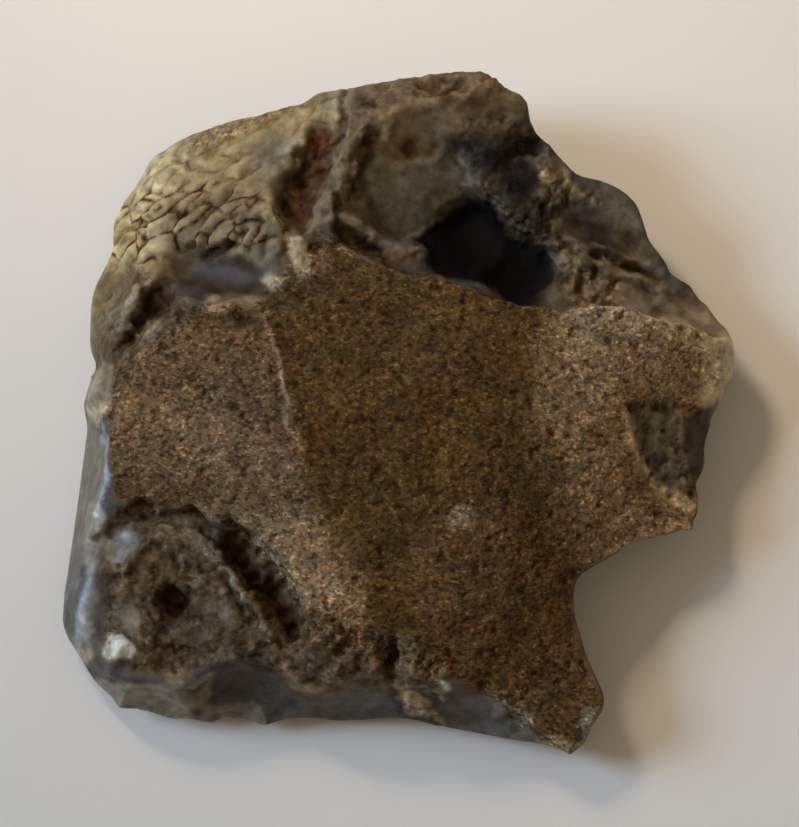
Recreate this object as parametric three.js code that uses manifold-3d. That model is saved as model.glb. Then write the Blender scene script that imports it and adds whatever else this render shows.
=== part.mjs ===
// A thick flint flake with its sandy cortex left on the upper face.
// Millimetres, +Z up. It lies on a small flat spot at z = 0, and the origin is on that spot.
import * as THREE from 'three';
import { mergeVertices } from 'three/addons/utils/BufferGeometryUtils.js';
import Module from 'manifold-3d';

const wasm = await Module();
wasm.setup();

// Driving dimensions.
const THICKNESS = 13.4;        // height of the cortex at its highest point
const BLANK_TOP = 16;          // the rough block reaches past the cortex and is dressed down
const BLANK_BOTTOM = -2;
const TOOL = 76;               // width of the blocks that dress it down, wider than the stone
const TOOL_DEPTH = 30;         // and their depth, more than the stone's thickness
const CELL = 1.85;             // size of the small faces on the broad weathered surfaces
const SCAR_CELL = 1.35;        // size of the small faces inside the scars
const BROAD_CELL = 3.8;        // and on the underside, where the surface is calm
const UNEVEN = 0.13;           // how far hollows and lumps stray from a true oval
const UNEVEN_PITCH = 1.7;      // and the length of those swells on an oval of radius 1
const BOWL = 3;                // half-height of such an oval, in depths of its hollow
const BOWL_RIM = Math.sqrt(1 - (1 - 1 / BOWL) ** 2);

// The cortex is nearly level in the middle. Past these lines it bends down with these radii.
// The bend to the right turns a little toward the front, and flattens out at low.
const CORTEX = {
  left: 5, leftRadius: 150, right: 8, rightRadius: 14.5, rightHeading: -20,
  front: 6, frontRadius: 75, back: 6, backRadius: 170,
  low: 5.2, flattening: 1.1,
  uneven: 0.22, pitch: 9,
};

// A faint ridge runs down the cortex. Left of it the surface falls a little faster.
const RIDGE = { x: -8.84, lean: -0.24, fall: 0.06 };

// The lower parts of the upper face: height at the named place, and the fall from there.
const BACK = { height: 10.6, x: -4, y: 14, fallRight: 0.16, riseBack: 0.06, uneven: 0.42,
  pitch: 5.2 };
const CREST = { x: 4, y: 30, reach: 11, height: 2.4 };   // it rises to a crest at the back
const CORNER = { height: 7.8, x: -18, y: -18, fallLeft: 0.1, fallFront: 0.35, uneven: 0.4,
  pitch: 6 };
const END = { height: 9.1, x: 19, fallRight: 0.6, uneven: 0.3, pitch: 4.4 };

// The underside is a shallow dome cut off by the flat spot. It curls up toward the thin
// edges at the back and on the right.
const UNDERSIDE = {
  radius: 250, flatSpot: 0.22, back: 8, backRadius: 65, right: 12, rightRadius: 45,
  uneven: 0.1, pitch: 14,
};

const degrees = THREE.MathUtils.degToRad;

// ---------------------------------------------------------------- solids

function solid(geometry) {
  const bare = geometry.clone();
  bare.deleteAttribute('normal');
  bare.deleteAttribute('uv');
  const merged = mergeVertices(bare, 1e-5);
  return new wasm.Manifold(new wasm.Mesh({
    numProp: 3,
    vertProperties: Float32Array.from(merged.attributes.position.array),
    triVerts: Uint32Array.from(merged.index.array),
  }));
}

// A frame that stands on a surface: its z axis points out of the stone.
// toward is the compass direction the surface faces, slope its angle from level.
function surfaceFrame(at, toward, slope, turn = 0) {
  const compass = degrees(toward);
  const tilt = degrees(slope);
  const out = new THREE.Vector3(
    Math.cos(compass) * Math.sin(tilt),
    Math.sin(compass) * Math.sin(tilt),
    Math.cos(tilt),
  );
  const across = new THREE.Vector3(-Math.sin(compass), Math.cos(compass), 0);
  const along = new THREE.Vector3().crossVectors(out, across);
  const frame = new THREE.Matrix4().makeBasis(across, along, out);
  frame.multiply(new THREE.Matrix4().makeRotationZ(degrees(turn)));
  frame.setPosition(...at);
  return frame;
}

// How far a surface has bent down at this distance past the line where the bend starts.
function bend(past, radius) {
  return Math.max(0, past) ** 2 / (2 * radius);
}

// Low waves that never repeat over the width of the stone, between -1 and 1.
function waves(x, y, seed, pitch) {
  let sum = 0;
  for (let k = 0; k < 5; k += 1) {
    const heading = seed * 1.7 + k * 2.4;
    const length = pitch * (1 - 0.13 * k);
    const way = x * Math.cos(heading) + y * Math.sin(heading);
    sum += Math.sin((way * 2 * Math.PI) / length + seed * 5.1 + k * 1.3);
  }
  return sum / 5;
}

// A block whose underside is the surface height(x, y). It takes away everything above that.
function coverAbove(height, cell = CELL) {
  const cells = Math.round(TOOL / cell);
  const geometry = new THREE.BoxGeometry(TOOL, TOOL, TOOL_DEPTH, cells, cells, 1);
  const position = geometry.attributes.position;
  for (let i = 0; i < position.count; i += 1) {
    const x = position.getX(i);
    const y = position.getY(i);
    const onUnderside = position.getZ(i) < 0;
    position.setZ(i, onUnderside ? height(x, y) : TOOL_DEPTH);
  }
  return geometry;
}

// A broken face that bulges a little. bow is the radius of the bulge.
function face({ at, toward, slope, bow, wave, pitch, seed }) {
  const height = (x, y) => wave * waves(x, y, seed, pitch) - bend(Math.hypot(x, y), bow);
  const geometry = coverAbove(height);
  geometry.applyMatrix4(surfaceFrame(at, toward, slope));
  return solid(geometry);
}

// An uneven ball squashed to the half-sizes a, b and c, placed in a surface frame.
function pebble(a, b, c, frame, cell) {
  const rings = Math.max(3, Math.ceil(Math.max(a, b) / cell));
  const geometry = new THREE.IcosahedronGeometry(1, rings);
  const seed = a + b;
  const position = geometry.attributes.position;
  for (let i = 0; i < position.count; i += 1) {
    const point = new THREE.Vector3().fromBufferAttribute(position, i);
    const swell = waves(point.x + 0.6 * point.z, point.y - 0.7 * point.z, seed, UNEVEN_PITCH);
    point.multiplyScalar(1 + UNEVEN * swell);
    position.setXYZ(i, point.x, point.y, point.z);
  }
  geometry.scale(a, b, c);
  geometry.applyMatrix4(frame);
  return solid(geometry);
}

// The hollow left by a flake or a flaw: width by length at its rim, and depth below it.
function scar({ at, toward = -90, slope = 0, width, length, depth, turn = 0, cell = SCAR_CELL }) {
  const reach = BOWL * depth;
  const frame = surfaceFrame(at, toward, slope, turn);
  frame.multiply(new THREE.Matrix4().makeTranslation(0, 0, reach - depth));
  return pebble(width / 2 / BOWL_RIM, length / 2 / BOWL_RIM, reach, frame, cell);
}

// A rounded rise on a surface, mostly buried in it.
function lump({ at, toward = -90, slope = 0, width, length, height, turn = 0 }) {
  const reach = BOWL * height;
  const frame = surfaceFrame(at, toward, slope, turn);
  frame.multiply(new THREE.Matrix4().makeTranslation(0, 0, height - reach));
  return pebble(width / 2 / BOWL_RIM, length / 2 / BOWL_RIM, reach, frame, SCAR_CELL);
}

// ---------------------------------------------------------------- the rough block

// The outline from above, counter-clockwise in named stretches. edge is the height of the
// widest line. lean is how far the side has moved toward the middle by BLANK_TOP, and
// undercut how far it has drawn in again at BLANK_BOTTOM.
const SIDES = [
  { // steep scalloped front, left to right
    edge: 2.2, lean: 7.0, undercut: 1.2,
    points: [[-24.7, -21.6], [-23.4, -22.7], [-22.7, -23.9], [-21.8, -24.7], [-20.4, -24.9],
      [-18.8, -24.7], [-17.2, -24.4], [-16.2, -24.7], [-14.4, -25.3], [-12.5, -25.3],
      [-10.6, -25.0], [-9.0, -24.4], [-7.4, -24.4], [-5.6, -24.7], [-4.2, -24.9],
      [-2.6, -24.7], [-0.6, -24.4], [1.0, -24.5], [2.6, -24.9], [4.4, -25.4],
      [6.2, -25.8], [8.0, -26.0], [9.8, -26.3]],
  },
  { // the front tip
    edge: 2.4, lean: 4.6, undercut: 1.2,
    points: [[11.7, -26.6], [13.3, -27.1], [13.8, -27.4], [14.5, -27.1], [15.2, -26.2]],
  },
  { // right side of the tip, where the cortex rolls over a broken side
    edge: 4.0, lean: 1.2, undercut: 1.6,
    points: [[15.7, -25.1], [16.5, -24.0], [16.6, -22.9], [15.9, -21.3], [15.1, -19.6]],
  },
  { // inner side of the notch
    edge: 5.2, lean: 0.3, undercut: 2.2,
    points: [[14.6, -17.8], [14.2, -16.6], [14.1, -15.2], [14.2, -14.0]],
  },
  { // front of the right arm
    edge: 5.0, lean: 0.3, undercut: 3.0,
    points: [[14.6, -13.1], [16.3, -12.1], [17.4, -11.5], [18.3, -10.9], [18.9, -10.3],
      [20.8, -10.0], [22.3, -9.6]],
  },
  { // end of the right arm
    edge: 4.0, lean: 1.0, undercut: 2.4,
    points: [[23.8, -8.9], [24.3, -7.9], [24.4, -7.0], [24.1, -5.6]],
  },
  { // smooth struck face on the right end
    edge: 3.0, lean: 3.6, undercut: 1.6,
    points: [[24.8, -4.2], [25.4, -2.6], [25.7, -1.2], [25.5, 0.1]],
  },
  { // rounded knob on the right end
    edge: 3.8, lean: 3.0, undercut: 2.2,
    points: [[26.1, 1.0], [26.8, 2.5], [27.4, 3.6], [27.6, 5.0], [27.5, 6.3], [27.0, 7.3]],
  },
  { // thin back edge on the right
    edge: 4.8, lean: 0.8, undercut: 3.4,
    points: [[26.1, 7.8], [25.3, 9.2], [24.4, 9.9], [23.9, 10.9], [22.2, 11.7],
      [21.5, 13.3], [20.5, 14.5], [20.1, 15.8], [19.5, 17.5], [18.4, 18.5], [16.5, 19.4],
      [14.7, 19.7]],
  },
  { // thick back edge
    edge: 6.4, lean: 0.8, undercut: 3.0,
    points: [[13.7, 20.5], [12.9, 21.3], [12.2, 22.2], [11.2, 22.9], [10.7, 24.2],
      [10.5, 25.7], [9.9, 26.2], [8.8, 26.6], [7.9, 27.4], [6.0, 28.1], [2.8, 27.8],
      [-0.6, 27.4], [-4.0, 26.8], [-6.9, 26.4]],
  },
  { // rounded shoulder at the back on the left
    edge: 4.2, lean: 2.0, undercut: 2.0,
    points: [[-8.4, 26.0], [-11.6, 25.2], [-14.4, 24.6], [-17.0, 23.8], [-19.0, 22.8],
      [-20.5, 21.8], [-21.3, 20.2], [-22.2, 18.8], [-23.2, 17.7], [-23.8, 16.6],
      [-23.6, 14.2], [-24.1, 12.9], [-25.0, 11.7]],
  },
  { // lumpy left shoulder
    edge: 3.0, lean: 3.4, undercut: 1.2,
    points: [[-25.4, 9.9], [-25.5, 7.8], [-25.5, 6.0], [-24.9, 4.6], [-25.4, 3.4],
      [-26.0, 1.4]],
  },
  { // one long smooth face on the left
    edge: 2.0, lean: 5.4, undercut: 1.0,
    points: [[-25.7, -0.4], [-26.0, -3.0], [-26.4, -6.4], [-26.9, -10.2], [-27.4, -14.0],
      [-27.6, -16.4]],
  },
  { // cut corner between the left face and the front
    edge: 2.2, lean: 6.4, undercut: 1.2,
    points: [[-27.1, -17.8], [-26.2, -19.2], [-25.5, -20.4]],
  },
];

function roughBlock() {
  const line = SIDES.flatMap((side) => side.points.map(([x, y]) => ({ ...side, x, y })));
  const count = line.length;
  const rings = [[], [], []];  // drawn in below, at the widest line, leaned in above
  const drawnIn = (point, step, z) => {
    const scale = 1 - step / Math.hypot(point.x, point.y);
    return [point.x * scale, point.y * scale, z];
  };
  for (const point of line) {
    rings[0].push(drawnIn(point, point.undercut, BLANK_BOTTOM));
    rings[1].push(drawnIn(point, 0, point.edge));
    rings[2].push(drawnIn(point, point.lean, BLANK_TOP));
  }
  const corners = (ring) => ring.map(([x, y]) => new THREE.Vector2(x, y));
  const index = [];
  for (let level = 0; level < 2; level += 1) {
    for (let i = 0; i < count; i += 1) {
      const low = level * count;
      const next = (i + 1) % count;
      index.push(low + i, low + next, low + count + next);
      index.push(low + i, low + count + next, low + count + i);
    }
  }
  for (const [a, b, c] of THREE.ShapeUtils.triangulateShape(corners(rings[0]), [])) {
    index.push(c, b, a);
  }
  for (const [a, b, c] of THREE.ShapeUtils.triangulateShape(corners(rings[2]), [])) {
    index.push(2 * count + a, 2 * count + b, 2 * count + c);
  }
  const geometry = new THREE.BufferGeometry();
  geometry.setAttribute('position', new THREE.Float32BufferAttribute(rings.flat(2), 3));
  geometry.setIndex(index);
  return solid(geometry);
}

// ---------------------------------------------------------------- upper and lower faces

// Height of the cortex: a low dome that falls to the left, the front and the right end.
function cortexHeight(x, y) {
  const heading = degrees(CORTEX.rightHeading);
  const rightward = x * Math.cos(heading) + y * Math.sin(heading);
  const leftRight = bend(CORTEX.left - x, CORTEX.leftRadius)
    + bend(rightward - CORTEX.right, CORTEX.rightRadius);
  const frontBack = bend(CORTEX.front - y, CORTEX.frontRadius)
    + bend(y - CORTEX.back, CORTEX.backRadius);
  const pastRidge = Math.max(0, RIDGE.x + RIDGE.lean * y - x);
  const aboveLow = THICKNESS - leftRight - frontBack - RIDGE.fall * pastRidge - CORTEX.low;
  const flattened = CORTEX.flattening * Math.log1p(Math.exp(aboveLow / CORTEX.flattening));
  return CORTEX.low + flattened + CORTEX.uneven * waves(x, y, 3, CORTEX.pitch);
}

// Height of the broken back: it falls from the cortex cliff to the thin right edge, and rises
// to a crest at the back.
function backHeight(x, y) {
  const plane = BACK.height - BACK.fallRight * (x - BACK.x) + BACK.riseBack * (y - BACK.y);
  const away = Math.hypot(x - CREST.x, y - CREST.y) / CREST.reach;
  const crest = CREST.height * Math.exp(-away * away);
  return plane + crest + BACK.uneven * waves(x, y, 7, BACK.pitch);
}

// Height of the low front left corner.
function cornerHeight(x, y) {
  const left = CORNER.fallLeft * Math.max(0, CORNER.x - x);
  const front = CORNER.fallFront * Math.max(0, CORNER.y - y);
  return CORNER.height - left - front + CORNER.uneven * waves(x, y, 5, CORNER.pitch);
}

// Height of the rough scar in the cortex of the right arm.
function endHeight(x, y) {
  return END.height - END.fallRight * (x - END.x) + END.uneven * waves(x, y, 9, END.pitch);
}

// A part of the upper face that lies lower than the cortex, behind a line seen from above.
const SHELVES = {
  brokenBack: {
    height: backHeight,
    line: [[-4.9, 13.1], [-3.3, 12.1], [-1.5, 11.4], [0.8, 10.6], [2.8, 10.5], [4.7, 9.3],
      [7.4, 9.2], [8.5, 8.4], [9.7, 7.4], [12.1, 7.6], [13.0, 7.0], [14.2, 7.6],
      [18.4, 7.8], [19.6, 7.4], [22.0, 6.9], [22.9, 7.3], [24.3, 6.7], [25.9, 6.3],
      [31, 7.0], [31, 34], [-4.6, 34], [-5.3, 22], [-5.4, 15.6]],
  },
  lowCorner: {
    height: cornerHeight,
    line: [[-21.0, -7.2], [-18.6, -8.4], [-16.4, -8.0], [-15.2, -9.3], [-12.9, -10.4],
      [-10.9, -12.2], [-9.6, -14.6], [-8.2, -15.9], [-7.6, -17.6], [-8.6, -19.6],
      [-6.6, -21.3], [-5.0, -22.4], [-4.0, -28], [-32, -28], [-32, -11.0], [-24.6, -10.2]],
  },
  endScar: {
    height: endHeight,
    line: [[18.2, 0.2], [18.5, -3.0], [20.0, -5.2], [21.3, -6.9], [24.4, -7.9], [30, -7.9],
      [30, 0.2], [24.2, 0.4], [22.0, 1.3]],
  },
};

function shelf({ line, height }) {
  const shape = new THREE.Shape(line.map(([x, y]) => new THREE.Vector2(x, y)));
  const column = new THREE.ExtrudeGeometry(shape, { depth: TOOL_DEPTH, bevelEnabled: false });
  return solid(column).intersect(solid(coverAbove(height)));
}

function undersideHeight(x, y) {
  const dome = bend(Math.hypot(x, y), UNDERSIDE.radius);
  const back = bend(y - UNDERSIDE.back, UNDERSIDE.backRadius);
  const right = bend(x - UNDERSIDE.right, UNDERSIDE.rightRadius);
  const uneven = UNDERSIDE.uneven * waves(x, y, 11, UNDERSIDE.pitch);
  return dome + back + right - UNDERSIDE.flatSpot + uneven;
}

function underside() {
  const geometry = coverAbove((x, y) => -undersideHeight(x, -y), BROAD_CELL);
  geometry.rotateX(Math.PI);
  return solid(geometry);
}

function belowGround() {
  const geometry = new THREE.BoxGeometry(TOOL, TOOL, TOOL_DEPTH);
  return solid(geometry.translate(0, 0, -TOOL_DEPTH / 2));
}

// ---------------------------------------------------------------- the struck faces and hollows

const FACES = {
  weatheredSlope: { at: [-15.2, 17.2, 9.6], toward: 138, slope: 30, bow: 100, wave: 0.24,
    pitch: 6, seed: 2 },
  leftShoulder: { at: [-22.3, 7.5, 7.9], toward: 166, slope: 50, bow: 500, wave: 0.3,
    pitch: 6, seed: 4 },
};

const SCARS = {
  // behind the cliff
  darkHollow: { at: [5.2, 15.1, 9.0], width: 9.4, length: 7.4, depth: 4.2, turn: -24 },
  darkHollowRight: { at: [10.0, 12.3, 8.8], width: 7.6, length: 7.2, depth: 3.6, turn: 20 },
  smoothBackScar: { at: [0.6, 19.0, 10.4], toward: -60, slope: 13, width: 10.4, length: 10.2,
    depth: 1.7, turn: 80 },
  rustHollow: { at: [-7.4, 19.2, 10.5], width: 4.0, length: 9.4, depth: 1.9, turn: -14 },
  ledge: { at: [-0.9, 12.4, 10.7], width: 7.4, length: 2.2, depth: 1.3, turn: -24 },
  backEdgeScoop: { at: [3.4, 26.2, 11.6], width: 6.4, length: 2.2, depth: 0.9, turn: 3 },
  pitLarge: { at: [0.9, 21.2, 9.6], width: 1.8, length: 1.4, depth: 0.6 },
  edgeScoop: { at: [10.2, 21.1, 9.1], width: 2.8, length: 1.8, depth: 0.8 },
  rightHollow: { at: [15.8, 15.6, 7.5], width: 5.2, length: 3.8, depth: 1.3, turn: -15 },
  steppedFace: { at: [20.6, 11.2, 6.6], toward: 40, slope: 20, width: 8.6, length: 4.6,
    depth: 0.8 },
  steppedFaceLow: { at: [24.2, 8.6, 5.9], toward: 48, slope: 26, width: 5.6, length: 3.4,
    depth: 0.7 },
  // left and upper left
  blueFacet: { at: [-15.9, 11.1, 10.4], toward: 160, slope: 18, width: 4.8, length: 10,
    depth: 1.9 },
  shoulderGroove: { at: [-20.3, 8.0, 9.3], width: 2.2, length: 8.4, depth: 1.3, turn: -35 },
  // front left
  roundPit: { at: [-18.5, -15.3, 8.0], width: 2.6, length: 3.0, depth: 1.7 },
  diagonalGroove: { at: [-10.7, -13.4, 8.6], width: 2.6, length: 8.6, depth: 1.4, turn: 41 },
  frontPit: { at: [-0.6, -20.4, 8.4], width: 1.8, length: 3.4, depth: 0.9 },
  // right end
  smoothEndFace: { at: [25.1, -2.4, 4.6], toward: -4, slope: 62, width: 5.6, length: 6.0,
    depth: 0.8 },
  // the scalloped front
  scallopLeft: { at: [-21.1, -23.4, 4.2], toward: -92, slope: 66, width: 7.6, length: 7.4,
    depth: 0.7 },
  scallopDeep: { at: [-12.1, -22.5, 5.4], toward: -91, slope: 52, width: 10.4, length: 10.4,
    depth: 1.4 },
  scallopMiddle: { at: [-4.3, -23.7, 4.4], toward: -88, slope: 70, width: 8.8, length: 7.6,
    depth: 0.6 },
  scallopRight: { at: [5.6, -24.2, 4.6], toward: -98, slope: 58, width: 8.4, length: 8.0,
    depth: 1.1 },
  // the underside
  undersideRight: { at: [17, 10, 1.9], toward: 0, slope: 176, width: 17, length: 14,
    depth: 0.9, cell: BROAD_CELL },
  undersideLeft: { at: [-17.5, 6, 0.9], toward: 180, slope: 178, width: 18, length: 11,
    depth: 0.7, turn: 15, cell: BROAD_CELL },
  undersideFront: { at: [-6, -18.5, 0.8], toward: -90, slope: 178, width: 20, length: 9,
    depth: 0.6, turn: -8, cell: BROAD_CELL },
};

const LUMPS = {
  nose: { at: [-11.7, 13.7, 11.4], width: 2.6, length: 3.8, height: 0.8, turn: -12 },
  creamNodule: { at: [-7.5, 12.9, 12.1], width: 3.0, length: 4.2, height: 0.7, turn: 8 },
  thinRim: { at: [-1.9, 14.3, 10.4], width: 8.4, length: 1.2, height: 0.8, turn: -17 },
  shoulderRidge: { at: [-21.8, 8.0, 8.2], width: 2.0, length: 7.6, height: 0.9, turn: -30 },
  smoothBlob: { at: [-18.9, 20.2, 6.2], toward: 138, slope: 36, width: 3.4, length: 3.2,
    height: 0.7 },
};

function flake() {
  let stone = roughBlock().subtract(solid(coverAbove(cortexHeight)));
  for (const lowered of Object.values(SHELVES)) {
    stone = stone.subtract(shelf(lowered));
  }
  for (const struck of Object.values(FACES)) {
    stone = stone.subtract(face(struck));
  }
  for (const rise of Object.values(LUMPS)) {
    stone = stone.add(lump(rise));
  }
  for (const hollow of Object.values(SCARS)) {
    stone = stone.subtract(scar(hollow));
  }
  return stone.subtract(underside()).subtract(belowGround());
}

function toGeometry(stone) {
  const mesh = stone.getMesh();
  const geometry = new THREE.BufferGeometry();
  geometry.setAttribute('position', new THREE.BufferAttribute(mesh.vertProperties, 3));
  geometry.setIndex(new THREE.BufferAttribute(mesh.triVerts, 1));
  geometry.computeVertexNormals();
  return geometry;
}

const flint = new THREE.MeshStandardMaterial({ color: 0x7d6a50, roughness: 0.8, metalness: 0 });
const mesh = new THREE.Mesh(toGeometry(flake()), flint);
mesh.name = 'flint_flake';

const group = new THREE.Group();
group.add(mesh);

export default group;
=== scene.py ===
import math

import bmesh
import bpy
import numpy as np
from bpy.props import FloatProperty, FloatVectorProperty, IntProperty, PointerProperty
from bpy.types import Operator, Panel, PropertyGroup
from mathutils import Matrix, Vector


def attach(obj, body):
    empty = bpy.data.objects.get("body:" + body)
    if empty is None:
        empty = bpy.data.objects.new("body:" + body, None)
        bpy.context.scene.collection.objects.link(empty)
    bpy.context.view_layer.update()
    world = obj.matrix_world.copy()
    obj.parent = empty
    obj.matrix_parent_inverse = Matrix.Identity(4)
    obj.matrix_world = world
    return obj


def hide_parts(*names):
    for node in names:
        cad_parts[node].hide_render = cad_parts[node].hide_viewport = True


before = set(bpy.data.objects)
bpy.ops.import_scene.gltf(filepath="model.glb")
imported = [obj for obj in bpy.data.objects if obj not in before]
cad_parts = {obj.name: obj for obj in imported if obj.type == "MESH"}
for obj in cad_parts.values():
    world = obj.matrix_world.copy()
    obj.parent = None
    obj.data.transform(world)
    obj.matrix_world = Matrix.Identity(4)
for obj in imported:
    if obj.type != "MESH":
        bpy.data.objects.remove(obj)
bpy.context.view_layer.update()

bl_info = {
    "name": "Flint flake",
    "version": (1, 0, 0),
    "blender": (4, 5, 0),
    "location": "3D View > Sidebar > Flint",
    "description": "Dresses the flint flake's solid with cortex, struck faces and a stage",
    "category": "Object",
}

MM = 0.001
NODE = "flint_flake"
PIECE = "flint_flake_stone"


# ------------------------------------------------------------------ number tools

def noise(points, size, seed, octaves=1):
    """Smooth random values from about -1 to 1 in lumps of the given size in mm."""
    total = np.zeros(len(points))
    weight = 0.0
    for octave in range(octaves):
        table = np.random.default_rng(seed + 31 * octave).uniform(-1, 1, 4096)
        place = points * (2 ** octave / size) + 100.0
        cell = np.floor(place).astype(np.int64)
        part = place - cell
        part = part * part * (3 - 2 * part)
        value = np.zeros(len(points))
        for corner in range(8):
            step = np.array([corner & 1, (corner >> 1) & 1, (corner >> 2) & 1])
            key = (cell + step) @ np.array([73856093, 19349663, 83492791])
            share = np.prod(np.where(step == 1, part, 1 - part), axis=1)
            value += share * table[key & 4095]
        total += value * 0.5 ** octave
        weight += 0.5 ** octave
    return total / weight * 1.4


def ramp(value, low, high):
    """0 below low, 1 above high, and a smooth rise between them."""
    part = np.clip((value - low) / (high - low), 0, 1)
    return part * part * (3 - 2 * part)


def along_line(xy, line, closed=False):
    """Nearest distance in mm to a line, how far along it (0 to 1), and which side (left is +)."""
    corners = np.array(line, float)
    ends = np.roll(corners, -1, axis=0) if closed else corners[1:]
    lengths = np.hypot(*(ends - corners[:len(ends)]).T)
    before = np.concatenate([[0], np.cumsum(lengths)])
    best = np.full(len(xy), 1e9)
    place = np.zeros(len(xy))
    side = np.ones(len(xy))
    for k, (start, end) in enumerate(zip(corners, ends)):
        way = end - start
        along = np.clip(((xy - start) @ way) / max(way @ way, 1e-9), 0, 1)
        gap = xy - start - along[:, None] * way
        distance = np.hypot(gap[:, 0], gap[:, 1])
        nearer = distance < best
        best = np.where(nearer, distance, best)
        place = np.where(nearer, (before[k] + along * lengths[k]) / before[-1], place)
        turn = way[0] * (xy[:, 1] - start[1]) - way[1] * (xy[:, 0] - start[0])
        side = np.where(nearer, np.sign(turn), side)
    return best, place, side


def inside_distance(xy, outline):
    """Distance in mm to an outline seen from above: positive inside it, negative outside."""
    corners = np.array(outline, float)
    inside = np.zeros(len(xy), bool)
    for start, end in zip(corners, np.roll(corners, -1, axis=0)):
        crosses = (start[1] > xy[:, 1]) != (end[1] > xy[:, 1])
        rise = end[1] - start[1]
        rise = rise if abs(rise) > 1e-9 else 1e-9
        at = start[0] + (xy[:, 1] - start[1]) * (end[0] - start[0]) / rise
        inside ^= crosses & (xy[:, 0] < at)
    return np.where(inside, 1, -1) * along_line(xy, outline, closed=True)[0]


def oval(xy, at, size, turn=0.0):
    """How far out each point lies from the middle of an oval: 0 in the middle, 1 on its rim."""
    angle = math.radians(turn)
    gap = xy - np.array(at, float)
    across = gap[:, 0] * math.cos(angle) + gap[:, 1] * math.sin(angle)
    along = gap[:, 1] * math.cos(angle) - gap[:, 0] * math.sin(angle)
    return np.hypot(across / (size[0] / 2), along / (size[1] / 2))


def ragged(points, amount, size, seed):
    """The points seen from above, shifted a little so that edges drawn on them wander."""
    shift = np.stack([noise(points, size, seed, 2), noise(points, size, seed + 7, 2)], axis=1)
    return points[:, :2] + amount * shift


def close_to(xy, corners, reach):
    """Which points lie within reach of the box around some corners."""
    corners = np.array(corners, float)
    beyond = np.maximum(corners.min(axis=0) - xy, xy - corners.max(axis=0))
    return np.all(beyond < reach, axis=1)


def zone(xy, outline, soft):
    """1 inside an outline, 0 outside it, and a soft edge between them."""
    near = close_to(xy, outline, soft)
    share = np.zeros(len(xy))
    share[near] = ramp(inside_distance(xy[near], outline), -soft, soft)
    return share


def upward(normals, low=-0.1, high=0.25):
    """1 on surfaces that look up, 0 on those that look down."""
    return ramp(normals[:, 2], low, high)


def strongest(xy, places):
    """The largest share that any of the places gives at each point."""
    return np.maximum.reduce([share * zone(xy, outline, soft) for share, soft, outline in places])


# ------------------------------------------------------------------ mesh tools

def points_of(mesh):
    """The places of a mesh's points, one row each."""
    flat = np.empty(len(mesh.vertices) * 3, np.float32)
    mesh.vertices.foreach_get("co", flat)
    return flat.reshape(-1, 3).astype(float)


def move_points(mesh, points):
    """Puts the points of a mesh in new places."""
    mesh.vertices.foreach_set("co", points.astype(np.float32).ravel())
    mesh.update()


def store(mesh, name, values):
    """Keeps one number a point, or one colour a point, under a name."""
    kind = "FLOAT" if np.ndim(values) == 1 else "FLOAT_COLOR"
    layer = mesh.attributes.get(name)
    if layer is None:
        layer = mesh.attributes.new(name, kind, "POINT")
    if kind == "FLOAT":
        layer.data.foreach_set("value", np.asarray(values, np.float32))
    else:
        whole = np.concatenate([values, np.ones((len(values), 1))], axis=1)
        layer.data.foreach_set("color", np.asarray(whole, np.float32).ravel())


def evaluated(piece):
    """A plain mesh of the piece with its modifiers applied."""
    graph = bpy.context.evaluated_depsgraph_get()
    return bpy.data.meshes.new_from_object(piece.evaluated_get(graph), depsgraph=graph)


def apply_modifiers(piece):
    """Gives the piece a plain mesh with its modifiers applied."""
    mesh = evaluated(piece)
    piece.modifiers.clear()
    old = piece.data
    piece.data = mesh
    bpy.data.meshes.remove(old)


def remeshed(piece, cell):
    """Rebuilds the piece's mesh as one closed skin of even faces."""
    remesh = piece.modifiers.new("cells", "REMESH")
    remesh.mode = "VOXEL"
    remesh.voxel_size = cell
    remesh.adaptivity = 0.0
    apply_modifiers(piece)


def scatter_sum(index, values, count):
    """Sums rows of values that share an index."""
    return np.stack([np.bincount(index, values[:, k], count) for k in range(3)], axis=1)


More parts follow.
